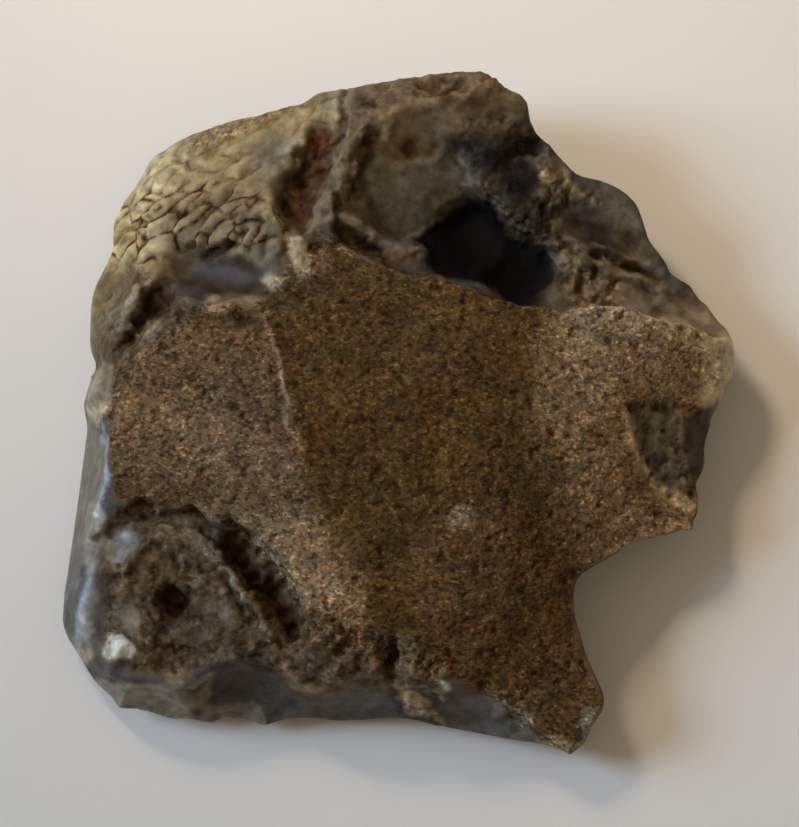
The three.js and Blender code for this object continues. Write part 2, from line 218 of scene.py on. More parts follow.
class Sheet:
    """The faces and edges of a closed mesh as arrays."""

    def __init__(self, mesh):
        loops = len(mesh.loops)
        corner = np.empty(loops, np.int32)
        edge = np.empty(loops, np.int32)
        mesh.loops.foreach_get("vertex_index", corner)
        mesh.loops.foreach_get("edge_index", edge)
        start = np.empty(len(mesh.polygons), np.int32)
        total = np.empty(len(mesh.polygons), np.int32)
        mesh.polygons.foreach_get("loop_start", start)
        mesh.polygons.foreach_get("loop_total", total)
        self.corner = corner
        self.following = np.arange(loops) + 1
        self.following[start + total - 1] = start
        self.face = np.repeat(np.arange(len(total)), total)
        self.sides = total
        order = np.argsort(edge, kind="stable")
        if len(order) == 2 * len(mesh.edges):
            pairs = self.face[order].reshape(-1, 2)
            self.left, self.right = pairs[:, 0], pairs[:, 1]
        ends = np.empty(len(mesh.edges) * 2, np.int32)
        mesh.edges.foreach_get("vertices", ends)
        self.ends = ends.reshape(-1, 2)
        self.points = len(mesh.vertices)
        self.degree = np.bincount(self.ends.ravel(), minlength=self.points)

    def centres(self, points):
        """The middle of each face."""
        total = scatter_sum(self.face, points[self.corner], len(self.sides))
        return total / self.sides[:, None]

    def face_normals(self, points):
        """The direction that each face looks in."""
        here = points[self.corner]
        there = points[self.corner[self.following]]
        total = scatter_sum(self.face, np.cross(here, there), len(self.sides))
        return total / np.maximum(np.linalg.norm(total, axis=1), 1e-12)[:, None]

    def point_normals(self, points):
        """The direction that the surface looks in at each point."""
        normals = self.face_normals(points)
        total = scatter_sum(self.corner, normals[self.face], self.points)
        return total / np.maximum(np.linalg.norm(total, axis=1), 1e-12)[:, None]

    def neighbour_mean(self, values):
        """Mean of the neighbours' values, one number a point."""
        a, b = self.ends[:, 0], self.ends[:, 1]
        total = np.bincount(a, values[b], self.points) + np.bincount(b, values[a], self.points)
        return total / self.degree

    def blurred(self, values, rounds):
        """Values spread out over their neighbours."""
        for _ in range(rounds):
            values = 0.5 * values + 0.5 * self.neighbour_mean(values)
        return values

    def relaxed(self, points, share, rounds):
        """Rounds the surface off evenly, by a share from 0 to 1 at each point."""
        points = points.copy()
        for _ in range(rounds):
            mean = np.stack([self.neighbour_mean(points[:, k]) for k in range(3)], axis=1)
            points += (0.5 * share)[:, None] * (mean - points)
        return points

    def soften(self, points, reach, crisp, rounds):
        """Smooths away flat facets and keeps the edges of scars.

        reach is how many faces a normal spreads over, crisp the angle in radians past which
        two faces count as an edge.
        """
        normals = self.face_normals(points)
        count = len(self.sides)
        for _ in range(reach):
            gap = normals[self.left] - normals[self.right]
            share = np.exp(-np.sum(gap * gap, axis=1) / crisp ** 2)[:, None]
            total = normals + scatter_sum(self.left, share * normals[self.right], count)
            total += scatter_sum(self.right, share * normals[self.left], count)
            normals = total / np.linalg.norm(total, axis=1)[:, None]
        around = np.bincount(self.corner, minlength=self.points)[:, None]
        for _ in range(rounds):
            gap = self.centres(points)[self.face] - points[self.corner]
            pull = normals[self.face] * np.sum(gap * normals[self.face], axis=1)[:, None]
            points = points + scatter_sum(self.corner, pull, self.points) / around
        return points


# ------------------------------------------------------------------ where things are

# Lines and outlines seen from above, in mm from the middle of the resting spot. The last
# letter of a name is its region: A the wrinkled slope behind, B the band above it, C the
# smooth facet below it, D the left shoulder, E the rusty pit, F the smooth scar, G the black
# hollow, H the scoop in front of them, J the broken right of the back, K the cortex's rear
# corner, L the low front left corner, M the left side, N the front faces, O the right arm's
# scar and T the roll over the scoop.
CORTEX = [(-4.9, 13), (-3.3, 12.1), (-1.5, 11.4), (0.8, 10.6), (2.8, 10.5), (4.7, 9.3),
    (7.4, 9.1), (9.7, 7.4), (12, 7.6), (14.2, 7.6), (18.4, 7.7), (20, 7.2), (24.3, 6.6),
    (26.4, 5.4), (26.6, 2.6), (25, 0.6), (24.5, -2), (25.2, -7.5), (24.2, -9.2), (19, -11),
    (14.2, -14), (14, -18), (16.9, -23.4), (14.5, -27.6), (9.8, -25.4), (7.6, -23.2), (3, -21.4),
    (-3.2, -20.4), (-7, -19.8), (-7.8, -16.4), (-10.2, -12.4), (-14, -9.8), (-18, -8.3),
    (-22.8, -7.4), (-23.6, -4), (-23.4, 0.4), (-23, 3.4), (-19.4, 5.6), (-17.6, 8), (-14.4, 7.9),
    (-12.2, 7.2), (-10.4, 9.6), (-9.4, 13.6), (-6.6, 13.8)]

WRINKLED = [(-23.2, 17.9), (-20.7, 22.5), (-18.1, 23.8), (-13.9, 24.8), (-10.1, 25.4),
    (-5.7, 26.5), (-4.2, 26), (-4, 24), (-4.4, 22.1), (-5.5, 20), (-6.5, 18), (-7.1, 15.8),
    (-8.1, 15.2), (-9, 13.8), (-9.3, 12.4), (-11.1, 11.7), (-12.9, 12.3), (-15, 12.6),
    (-16.6, 12.6), (-18.7, 12.3), (-19.8, 11.8), (-20.2, 10.5), (-21.9, 8.9), (-23.3, 6.6),
    (-24.8, 5.5), (-25.2, 8.2), (-24.9, 12.4), (-23.8, 14.9)]
WRINKLED_CORE = [(-23.2, 17.9), (-20.7, 22.5), (-18.1, 23.8), (-15.2, 23.8), (-13, 22.4),
    (-11.7, 20.4), (-11.1, 17.6), (-11.1, 14.7), (-9.3, 12.4), (-11.1, 11.7), (-15, 12.6),
    (-18.7, 12.3), (-20.3, 11.4), (-23, 12.1), (-24, 14.9)]
FACET_C = [(-18, 12.5), (-16.9, 12.8), (-15.4, 12.7), (-13.7, 12.4), (-12.1, 11.9), (-10.9, 11.4),
    (-10.8, 9.9), (-10.9, 8.4), (-11.9, 8.2), (-13.2, 8.8), (-14.7, 9.4), (-16.2, 9.7),
    (-17.5, 9.9), (-18.3, 11)]
LEDGE_C = [(-15.7, 9.2), (-14.4, 9.2), (-12.8, 8.5), (-11.6, 8.1), (-11.9, 7.3), (-13.2, 7.2),
    (-14.5, 7.7), (-15.6, 8.1)]
SHOULDER = [(-24.6, 13), (-20.3, 11.8), (-18.7, 11), (-16.9, 8.5), (-15.7, 6.9), (-18.3, 5.2),
    (-20.1, 3.6), (-21.3, 2.2), (-22.8, -0.1), (-23.2, -2.5), (-24.8, -0.5), (-25.6, 1.5),
    (-25.6, 4.2), (-24.8, 7.2)]
RUST_E = [(-7.6, 22.7), (-6.6, 23), (-5.7, 22.5), (-5.3, 21.5), (-5.7, 20.6), (-6.6, 20.2),
    (-7.5, 20.6), (-7.9, 21.3)]
DARK_E = [(-8.1, 20.5), (-6.6, 20.2), (-5.6, 20.4), (-5.4, 19.2), (-6.3, 18.7), (-7.6, 19),
    (-8.3, 19.5)]
SCAR_F = [(-2.9, 19.9), (-1.6, 21), (-0.3, 20.3), (1.3, 20.4), (2.5, 20.8), (3.8, 21.9),
    (4.8, 21.9), (5.6, 20.7), (5.8, 17.8), (5, 17.5), (3.9, 16.9), (3, 16.1), (2.1, 15.3),
    (1.3, 14.5), (0, 13.9), (-1.5, 14), (-2.2, 15.4), (-3.1, 17.6)]
BLACK_G = [(1.1, 14.2), (2.5, 15.4), (4.6, 16.9), (5.8, 17.6), (7, 17.5), (7.6, 16.4),
    (8.5, 15.1), (9.5, 14.4), (10.7, 13.7), (11.9, 13.1), (12.4, 12.1), (12.4, 10.5), (12.1, 9),
    (10.6, 8.7), (8.5, 8.1), (7.4, 10.1), (5.7, 10.5), (4.1, 10.8), (2.6, 11.6), (2.2, 13.2)]
GREEN_G = [(4.3, 23.1), (5.4, 23.8), (6.8, 24.1), (8.2, 24.4), (9.9, 24.1), (11.2, 23),
    (11.6, 21.6), (10.9, 20.4), (10.8, 19.2), (11.2, 18.2), (10.6, 16.9), (9.5, 16.5),
    (8.7, 17.6), (7.7, 18.7), (6.4, 19.3), (5.3, 19.7), (4.6, 20.7), (4.1, 21.9)]
SCOOP_H = [(-5.3, 14.5), (-4, 14.4), (-1.7, 13.5), (0, 13.1), (2, 13.7), (1.7, 11.7), (0, 11.6),
    (-1.9, 12.3), (-4, 11.9), (-5.6, 12.6)]
ROUGH_J = [(5.6, 18.2), (6.6, 18.9), (7.7, 18.7), (8.5, 17.6), (9.3, 16.5), (10.3, 16.6),
    (11.2, 17.5), (11.4, 18.5), (11, 19.4), (11.7, 20.7), (12.8, 20.1), (13.6, 19.3),
    (14.5, 18.6), (15.8, 18.7), (16.6, 17.3), (15.8, 16.8), (14.6, 17), (13.4, 16.6),
    (12.8, 15.7), (13.1, 14.4), (14.1, 13.8), (15.5, 13.2), (16.8, 12.6), (17.9, 11.5),
    (18.3, 10.2), (17.9, 9), (16.3, 8.8), (14.5, 7.6), (13.7, 9), (13.1, 10.7), (12.3, 12.4),
    (11.1, 13.1), (9.7, 14), (8.7, 14.9), (8, 16.1), (7.2, 17.2)]
HOLLOW_J = [(12.7, 15.5), (13.6, 16.5), (14.8, 16.9), (15.9, 16.5), (16.9, 15.5), (17.9, 14.3),
    (18.4, 13.3), (17, 13.3), (15.6, 14), (14.3, 14.4), (13.2, 14.6)]
GREY_J = [(16.1, 18.4), (17.4, 18.4), (18.9, 17.6), (19.9, 16.3), (20.5, 14.5), (20.9, 12.8),
    (19.7, 12.2), (18.2, 12.9), (17.4, 14.4), (16.9, 16), (16.4, 17.2)]
FACET2_J = [(17.8, 12.5), (20.5, 11.7), (23, 10.9), (24.4, 9.5), (23.8, 9.7), (21.6, 9.8),
    (19.6, 10.8), (18, 10.7)]
FACET3_J = [(21.1, 9.4), (23.8, 9.8), (25.6, 8.7), (26.4, 7.1), (24.7, 6.4), (23.7, 8.1),
    (21.6, 8.3)]
CORTEX_RIDGE = [(-11.1, 6.7), (-10.2, 4.9), (-9.4, 2.9), (-8.9, 0.8), (-8.7, -1.2), (-8.2, -3),
    (-7.7, -4.8)]
CORTEX_LEFT = [(-18, 7.5), (-16.1, 6.8), (-12.8, 6.1), (-11.1, 6.7), (-10.2, 4.9), (-8.9, 0.8),
    (-7.7, -4.8), (-8, -7.1), (-11.2, -7.8), (-14.4, -8.1), (-17.6, -6.9), (-20.1, -7.6),
    (-22.6, -5), (-23.8, -2.4), (-23.3, 0.8), (-21.8, 3.1), (-20.1, 4.6)]
ARM = [(13.4, 8.5), (19.6, 8.5), (24.6, 8), (27, 6.6), (26.9, 1.3), (23.5, -0.5), (19.4, 0.1),
    (18.1, -1.5), (18.5, -5.4), (20.9, -7.7), (23.6, -8.7), (21.8, -9.6), (16.1, -11.5),
    (13.6, -9.5), (12.6, -4.1), (12.2, 1.5)]
ARM_GREY = [(13.8, 7.4), (18.8, 8.7), (19.4, 5.9), (16.9, 4), (14.5, 4.4)]
LOWER_RIGHT = [(1.6, -9.6), (6.4, -8), (12.8, -9.5), (15.3, -11.5), (14.1, -14.2), (14.9, -17.3),
    (16.1, -23.5), (14.2, -26.4), (8.9, -24.4), (5.7, -22.5), (2.4, -19.7), (0.8, -15.8)]
O_SCAR = [(18.6, -0.3), (20.2, 0.6), (21.7, 1.1), (22.5, 0.5), (23, -0.9), (23.1, -2.6),
    (23.5, -4), (24.1, -4.8), (23.4, -6.4), (22.3, -6.7), (21, -6.1), (19.7, -5), (18.8, -3)]
O_RIM = [(18.2, -0.7), (17.8, -2.5), (18.8, -4.9), (20.4, -6.8), (21.9, -7.6), (23.6, -7.9),
    (24.3, -7.2), (23.4, -6.6), (22.1, -6.5), (20.8, -6), (19.6, -4.8), (18.8, -2.9),
    (18.6, -0.8)]
KNOB = [(24.3, 6.6), (25.6, 6), (27, 7.1), (27.6, 6.1), (27.4, 4), (26.7, 2.1), (25.6, 0.4),
    (24.6, 0.5), (24.1, 1.1), (24.4, 2.4), (24.8, 4), (24.4, 5.4)]
SIDE_O = [(23, -0.3), (24.1, 0.2), (24.8, 0.3), (25.6, 0.2), (25.7, -1.4), (25.1, -3.4),
    (24.3, -4.5), (23.5, -3.9), (23.1, -2.6)]
ARM_FRONT = [(15.3, -12), (17.7, -10.9), (20.1, -10), (23.4, -8.5), (24.4, -8.9), (23.5, -9.6),
    (19.4, -10.9), (16.2, -12.2)]
STRIP_M = [(-25.7, 0.2), (-24.6, -0.6), (-23.6, -4.9), (-23.7, -8.3), (-24.6, -10.8),
    (-25.6, -13.5), (-27.2, -16.4), (-27.5, -14.7), (-27, -8.9), (-26.2, -3.9)]
STRIP_M2 = [(-25.6, -15.6), (-23.4, -15.4), (-22.9, -17.7), (-23.6, -20), (-25.7, -20),
    (-27.3, -18)]
BLUE_L = [(-23, -9.2), (-21.8, -9.6), (-20.7, -10.5), (-21.3, -11.5), (-22.4, -12.1),
    (-23.2, -12.3), (-23.1, -10.5)]
BROWN_L = [(-24, -9.1), (-23.1, -9), (-23.1, -10.5), (-23.3, -12.1), (-24, -12.5), (-24.1, -10.9)]
CHIP_L = [(-23.4, -18.4), (-22.6, -18.1), (-21.9, -18.5), (-21.4, -19.3), (-21.9, -20.2),
    (-22.8, -20.3), (-23.6, -19.6)]
BLUE2_L = [(-22.7, -15.3), (-21.9, -15.1), (-21.1, -16.2), (-20.8, -17.4), (-21.4, -18.3),
    (-22.3, -17.7), (-22.7, -16.5)]
PIT_L = [(-19.5, -14.8), (-18.8, -14.2), (-17.7, -14.5), (-17, -15.5), (-17.1, -16.6),
    (-17.7, -17.2), (-18.7, -17), (-19.3, -16.2)]
GROOVE_L = [(-14.1, -10.9), (-13.1, -10.6), (-11.7, -11.9), (-10.4, -13.3), (-9, -15.5),
    (-7.8, -17.7), (-8, -19.1), (-9.1, -18.7), (-10.3, -16.9), (-11.6, -15), (-13.2, -13.2),
    (-14.2, -12)]
LOW_L = [(-23.2, -8.3), (-20.1, -7.6), (-16.9, -9), (-14.5, -11), (-12.1, -12.3), (-10.4, -14.7),
    (-8, -17.1), (-5.6, -16.5), (-3.2, -18.1), (0, -18.6), (3.2, -20.1), (4.1, -21.4),
    (2.9, -22.8), (0, -22.6), (-3.2, -22.2), (-5.6, -22.6), (-8.8, -21.8), (-12.1, -20.5),
    (-15.3, -20.8), (-17.7, -21.7), (-21, -21.3), (-23.6, -20.3), (-24.4, -18.3), (-23.9, -15.2),
    (-23.4, -12.1)]
CRUMB_RIM = [(-12, -10.7), (-8.8, -12.3), (-5.6, -14.2), (-4.4, -15.8), (-5.6, -16.7),
    (-8, -15.3), (-10.6, -13.1), (-12.5, -11.7)]
CRUMB_1 = [(-8.3, -16.6), (-6.4, -16.4), (-4, -17.5), (-3.8, -19.7), (-4.5, -21), (-6.6, -22.1),
    (-8.2, -21.2), (-8.8, -18.7)]
CRUMB_2 = [(0.3, -18.8), (2.4, -19.3), (4.2, -21.1), (4.1, -22.5), (2.5, -22.8), (0.7, -22.2),
    (-0.1, -20.4)]
ORANGE_L = [(-19, -21), (-16.7, -21.3), (-16.9, -22.2), (-18.7, -22.3)]
RUST_RIDGE = [(-9.9, -19.8), (-9, -21.4), (-7.7, -22.2), (-5.8, -22.5)]
N_ONE = [(-24.7, -21.6), (-23.3, -21.5), (-20.2, -22), (-16.9, -22.2), (-14.9, -21.2),
    (-15.8, -23.1), (-17, -24.7), (-21.1, -24.8), (-23.5, -23.6)]
N_TWO = [(-15.7, -22.3), (-13.5, -20.4), (-11.6, -19.9), (-10.3, -20.8), (-8.9, -22.4),
    (-10.5, -24.5), (-13.4, -23.8), (-15.8, -24.1)]
N_LIP = [(-17.3, -24.3), (-15.8, -23.9), (-13.4, -23.8), (-11.2, -24), (-10.7, -25.1),
    (-13, -25.3), (-15.8, -25)]
N_THREE = [(-8.7, -22.6), (-5.6, -22.9), (-2.4, -22.6), (-0.3, -22.7), (0, -24.1), (-2.4, -24.8),
    (-6.5, -24.7), (-8.9, -25), (-10, -24.4)]
N_RIDGE = [(-0.8, -22.5), (1, -22.6), (2.5, -23.6), (3.5, -24.9), (2, -24.6), (0, -24.4)]
N_FOUR = [(2, -22.6), (4.9, -22.7), (8.1, -23.6), (9.8, -26.2), (6.6, -25.8), (3.8, -25.2),
    (2.5, -23.9)]
N_VEIN = [(8.1, -23.3), (11, -24.2), (11.4, -26.2), (9.8, -26.3), (8.5, -25)]
N_TIP = [(11.5, -26.3), (12.9, -26.2), (15.3, -26.4), (14.7, -27.3), (12.7, -26.9)]
TIP_SIDE = [(15.2, -24), (16.4, -23.9), (16.3, -25.1), (15.3, -26.5), (14.9, -25.4)]
PALE_PATCH = [(3.9, -8.2), (5.3, -7.9), (6.3, -8.6), (5.8, -9.9), (4.5, -10.2), (3.7, -9.4)]
RUST_STREAK = [(8.7, -8), (8.4, -8.9), (8.2, -9.9)]
WHITE_F = [(-1.3, 23.2), (-0.6, 23.1), (-0.6, 22), (-1.1, 22)]
REDDISH_F = [(0.2, 21.8), (1.5, 21.9), (1.7, 20.8), (0.7, 20.4)]
RUST_J = [(10, 22.9), (11, 22.8), (11, 21.8), (10, 21.8)]
FLECKS_J = [(13.2, 19.6), (13.9, 19.5), (13.8, 18.5), (13.3, 18.6)]
FLECKS_J2 = [(11.5, 17.9), (11.9, 17.7), (11.7, 17.2)]
WHITE_J = [(12.6, 15.4), (13.2, 15.5), (13.1, 14.6), (12.5, 14.8)]
SPARK = [(3.1, -21.7), (4.2, -22.2), (4.1, -22.8), (3.3, -22.4)]
SANDY_B = [(-17.5, 21.8), (-17.2, 23.1), (-14.7, 24.2), (-12.3, 24.8), (-10.1, 25.3),
    (-8.1, 25.8), (-8.5, 24.7), (-10.6, 23.9), (-13.1, 23.2), (-15.1, 22.5), (-16.3, 21.7)]
VEIN1 = [(8.4, -23.5), (9.2, -23.9), (10.5, -24.6), (11.3, -25.2)]
VEIN2 = [(9.7, -24), (10.2, -25), (10.6, -26)]
EDGE_M = [(-24.6, -0.6), (-23.7, -3.3), (-23.6, -5.7), (-23.7, -8), (-24.2, -9.7), (-24.3, -11.2),
    (-24.7, -13), (-25.2, -14.3), (-25.8, -16.8), (-25.9, -18.1)]
AREA_E = [(-7.7, 23.1), (-6.5, 23.4), (-5.4, 22.8), (-5.1, 21.5), (-5.2, 20.4), (-5.7, 19.1),
    (-6.3, 17.8), (-6.9, 16.4), (-7.8, 15.3), (-8.9, 15.7), (-9.6, 16.5), (-9.8, 17.9),
    (-8.9, 19.3), (-8.3, 20.6), (-8, 21.9)]
TOP_BAND = [(-4.4, 26.8), (-3.9, 24), (-1.6, 24.4), (0.9, 25), (3.3, 24.6), (5.8, 25.2),
    (8.2, 25.6), (10.8, 25.3), (9.6, 27.4), (6.6, 28.6), (3.3, 28.2), (-0.8, 27.6)]
BAND_A = [(-12.4, 22.4), (-10.7, 23.2), (-8.7, 21.5), (-8.9, 19.3), (-9.8, 17.5), (-11.2, 18.3),
    (-12.2, 19.9)]
MOTTLE_A = [(-13.1, 15.5), (-11.1, 16.3), (-9.3, 15), (-9.6, 13.2), (-11.1, 12.6), (-12.9, 13.3)]
STRIP_L = [(-25.3, -7.4), (-23.2, -7.4), (-23.4, -9.7), (-23.9, -12.1), (-24.2, -15.2),
    (-24.4, -18.3), (-25.6, -18.8), (-25.9, -16.6), (-25.4, -12.7)]
BRIGHT_MID = [(-13.6, -8.2), (-11, -9), (-8, -9.5), (-5.6, -11.5), (-3.8, -14.2), (-3.2, -17.4),
    (-4.4, -18.9), (-6.5, -16.5), (-8.8, -13.9), (-11.1, -11.1)]
ARM_TOP = [(16.1, 7.6), (19.4, 8), (23, 7.4), (25.6, 6.5), (26.8, 4.2), (24.6, 4.4), (22.6, 5.3),
    (19.3, 6.1), (16.1, 6.1)]
PIT_SOFT_L = [(-20.3, -13.7), (-18.3, -13.2), (-16.1, -14.3), (-15.1, -16.7), (-15.7, -19.4),
    (-17.7, -20.8), (-19.7, -19.7), (-20.5, -17)]
DEEP_A = [(-24.2, 17.3), (-22.2, 18.8), (-19.2, 18.8), (-15.9, 19.4), (-12.5, 18.4),
    (-10.1, 16.2), (-9, 13.7), (-11.1, 12.4), (-15, 12.6), (-20.3, 12.1), (-24.1, 13)]
LEFT_A = [(-24.9, 13), (-24.3, 16.3), (-22.8, 18.2), (-21.4, 21.5), (-19.3, 23.1), (-18, 20.6),
    (-19.2, 17.5), (-20.3, 14.1), (-22, 12.2)]
EDGE_LOW = [(14, -12.7), (15.3, -15.7), (16.4, -22.7), (15.8, -24.9), (14.5, -23.5),
    (13.8, -18.9), (13.3, -15)]
# Dark flint behind the cortex's edge, painted darker as the shadow that the edge casts.
DARK_LOW_G = [(9.9, 12.7), (11.9, 12.6), (13.1, 11.1), (13.8, 9.7), (13.5, 8.5), (11.7, 7.3),
    (9.8, 8.4), (8.5, 8), (8.6, 11.2)]
PIT_AREA_J = [(12.1, 17.8), (13.1, 18.7), (14.8, 19), (16.4, 18.6), (17.6, 17.3), (18, 15.6),
    (17.7, 14.2), (16.4, 13.4), (14.7, 13.6), (13.2, 14.3), (12.3, 15.6)]
LOW_LUMP_J = [(12.3, 13.3), (13.2, 13.9), (14.4, 13.5), (15.7, 12.9), (16.8, 12.3), (17.8, 11.3),
    (18.1, 10), (17.7, 9), (16.3, 8.9), (14.8, 8.6), (13.9, 9.2), (13.4, 10.6), (12.8, 12)]
CREASE_J = [(12.8, 14.8), (13.7, 14.1), (14.9, 13.4), (16.4, 12.9), (18, 12.5), (19.7, 12),
    (21, 11.2)]
BROWN_BAND_J = [(18.4, 12.8), (19.7, 12.2), (21, 11.6), (22, 10.4), (21.3, 10.2), (20.1, 11),
    (18.8, 11.8)]
O_RIM2 = [(22, 1.3), (23, 0.6), (23.5, -0.9), (23.6, -2.5), (24.2, -3.7), (23.5, -4.1),
    (22.9, -2.7), (22.7, -0.9), (22, 0.3)]
BOWL_L = [(-20.5, -18.5), (-19.7, -17.9), (-18.1, -18.2), (-16.5, -18.6), (-16.1, -19.8),
    (-16.9, -21.1), (-18.4, -21.8), (-19.8, -21), (-20.4, -19.8)]
BLUE3_L = [(-14.8, -15.5), (-14, -15.2), (-13.2, -16.3), (-13.2, -17.6), (-14, -17.9),
    (-14.6, -16.8)]
RIDGE1_L = [(-16.1, -10), (-14.8, -11.4), (-13.5, -13.4), (-12.4, -15.2), (-11.4, -16.8),
    (-10.6, -18.4), (-9.9, -19.9)]
RIDGE2_L = [(-18, -10.6), (-16.9, -12.2), (-15.8, -14.2), (-14.9, -16)]
GROOVE2_L = [(-14.3, -13.4), (-13.2, -14.7), (-12.2, -16.3), (-11.6, -17.9)]
STRIP_LIGHT = [(-24.3, -8.2), (-24.1, -10.9), (-24.7, -12.9), (-25.2, -15.1), (-25.7, -18.2),
    (-26, -19.3)]
STRIP_GREY = [(-23.9, -12.9), (-23.2, -13.2), (-23.4, -15.3), (-23.6, -17.8), (-24.4, -19.1),
    (-24.7, -16.7), (-24.4, -14.4)]
PALE_CORNER = [(-26.2, -19), (-24.9, -19.5), (-24.3, -20.1), (-25, -20.3), (-25.9, -20)]
# Painted highlights on two lumps in the broken right of the back.
LUMP_HIGHLIGHT_J1 = [(13, 19.4), (13.8, 18.9), (13.9, 18.1), (13.3, 18.2)]
LUMP_HIGHLIGHT_J2 = [(11.2, 19.6), (12, 19.2), (11.8, 17.5), (11.3, 17.3)]
BLOCK_A = [(-10.4, 21.5), (-9.3, 22.6), (-8.1, 21.9), (-7.9, 21.4), (-8.5, 20.5), (-10, 20.5)]
RUST2_E = [(-9.4, 18.7), (-8.4, 19.4), (-7.1, 18.9), (-6.5, 18.1), (-6.8, 16.7), (-7.6, 15.7),
    (-8.7, 16.1), (-9.4, 16.9), (-9.7, 17.6)]
FOLD1 = [(-4.5, 21.5), (-5, 20.1), (-5.6, 18.9), (-6.2, 17.2), (-6.9, 14.8)]
FOLD2 = [(-3.7, 22.4), (-3.9, 21), (-4.4, 19.7), (-4.8, 18.3), (-5.1, 16.7)]
FOLD3 = [(-2.6, 23.6), (-3, 22.3), (-3.4, 20.9), (-3.7, 19.5), (-3.9, 18)]
FOLD_TOP = [(-5.2, 25.3), (-4.4, 24.5), (-3.4, 24.5), (-2.2, 23.8), (-1.3, 23.2)]
GROOVE_TOP = [(-4.5, 24.7), (-4.4, 23.4), (-4.9, 22.2), (-5.2, 20.8)]
GROOVE_F = [(-2.2, 22.2), (-2.6, 20.9), (-3.1, 19.6), (-3.5, 18), (-3.9, 16)]
DARK_F = [(-3.4, 21.3), (-2.7, 20.9), (-3.1, 19.6), (-3.2, 18.1), (-3.5, 16.5), (-4, 15.5),
    (-4.7, 16), (-4.7, 17.3), (-4.1, 18.8), (-3.7, 20.1)]
ROLL_T = [(-5.4, 15.1), (-4.7, 15.1), (-3.9, 14.8), (-2.8, 14.4), (-1.7, 13.8), (-0.6, 13.4)]
UNDER_T = [(-5.4, 14.2), (-4.4, 14.1), (-3.2, 13.4), (-2.2, 12.9)]
FOLDS_E = [(-5.2, 23.4), (-4, 24.5), (-2.2, 24), (-1.3, 23.2), (-1.9, 21.4), (-2.6, 19.3),
    (-3.1, 17.2), (-3.9, 15.4), (-5.1, 15.8), (-6.6, 14.5), (-7.1, 15.8), (-6.1, 17.4),
    (-5.3, 19.4), (-5, 21.3)]
CREAM_K = [(-8.9, 14.3), (-8.2, 14.6), (-7.6, 13.4), (-7.4, 12.1), (-7.5, 10.5), (-8.2, 10.1),
    (-8.8, 11.3), (-9, 12.8)]
RUST_K = [(-7.5, 12.6), (-6.6, 13.1), (-5.6, 12.5), (-5.6, 11.3), (-6.6, 10.8), (-7.5, 11.1)]
GREYLUMP_K = [(-10.8, 12.7), (-10, 13.2), (-9.2, 12.9), (-9, 11.3), (-9.3, 10.3), (-10.4, 10.4),
    (-10.9, 11.4)]
CREAM2_K = [(-11.1, 10), (-10.4, 10.2), (-9.5, 10.2), (-9.6, 9), (-10.6, 8.9)]
FACET_CL = [(-19.5, 12.1), (-18.5, 12.7), (-17, 12.7), (-16.7, 11.7), (-17.2, 10.9),
    (-18.5, 10.8), (-19.3, 11.3)]
AROUND_C = [(-19.5, 12.9), (-17, 13.4), (-13.7, 12.9), (-11.1, 12.2), (-9.8, 11.4), (-9.8, 8.2),
    (-11.1, 7.6), (-13.5, 8), (-16.4, 8.4), (-18.8, 9.7), (-19.6, 11.1)]
PIT_D = [(-20.4, 9.7), (-19.6, 10.2), (-18.6, 10), (-18.2, 8.6), (-18.7, 7.4), (-19.7, 7.2),
    (-20.5, 8.1), (-20.7, 8.9)]
TAIL_D = [(-20.1, 8.1), (-20.9, 7.3), (-21.6, 6.3), (-22.2, 5.2), (-22.8, 4.3)]
FOLD_D = [(-20.9, 10.1), (-21.4, 9.1), (-21.9, 8.1), (-22.4, 6.9), (-22.8, 5.8)]
FOLD2_D = [(-18.5, 7.2), (-19.3, 6.5), (-20.2, 5.7), (-20.7, 5.1)]
FOLD3_D = [(-23.1, 9.8), (-23.5, 8.5), (-23.5, 6.8), (-23.2, 5.4)]
SMOOTH_DL = [(-24.6, 11), (-23.6, 11.8), (-22.3, 11.7), (-21.6, 10.5), (-22, 9), (-22.9, 8.1),
    (-24, 7.7), (-24.7, 8.8)]
UPPER_D = [(-23.6, 12.9), (-21.2, 12.8), (-19.6, 12.1), (-19.4, 10.5), (-20.4, 9.7), (-22, 10.7),
    (-23.6, 11.3), (-24.2, 11.1)]
SIDE_ML = [(-25.2, 4), (-23.7, 3.8), (-23, 3.1), (-22.9, 0.7), (-23.6, -0.1), (-25.1, 0.5),
    (-25.9, 1.4)]
CREAM_ML = [(-25.5, 0.8), (-24, 0.2), (-23.5, -0.6), (-24, -1.1), (-25.2, -0.3)]
PIT_RIM_L = [(-20.6, -15.4), (-19.8, -13.6), (-18.2, -13), (-16.6, -13.8), (-15.9, -15.6),
    (-16.5, -17.4), (-18.3, -18.3), (-20, -17.4)]
DARK_UP_G = [(5.6, 20.7), (6.9, 21.3), (8.2, 20.8), (9.4, 19.8), (10.7, 18.7), (12, 17.2),
    (12.9, 15.4), (13.2, 13.6), (12.5, 12.6), (11.3, 12.4), (10.4, 13.5), (9.7, 14.7),
    (8.8, 15.6), (7.9, 16.9), (6.7, 18), (5.8, 19.2)]
STRIP_DARK = [(-25, -5.1), (-24.3, -6.1), (-24.6, -8.2), (-25.1, -10.8), (-25.5, -13.1),
    (-26, -14.1), (-26.2, -13), (-25.9, -10.6), (-25.7, -7.8), (-25.4, -5.8)]
LEFT_PALE = [(-22.8, 0.4), (-19.3, 0.7), (-14.8, -0.1), (-11, -2.3), (-8, -5.5), (-8.6, -7.3),
    (-12, -6.9), (-15.6, -5.4), (-19.3, -4.3), (-22.4, -2.9)]
SIDE_D = [(-23.8, 9.3), (-21.7, 9.1), (-19.8, 8.6), (-19.3, 6.7), (-21, 5.8), (-23, 5.7),
    (-24.1, 7.3)]
RIM_H = [(-4.5, 15), (-2.6, 14.9), (-1.3, 13.6), (-1.6, 12.8), (-3.4, 13.2), (-4.8, 13.9)]
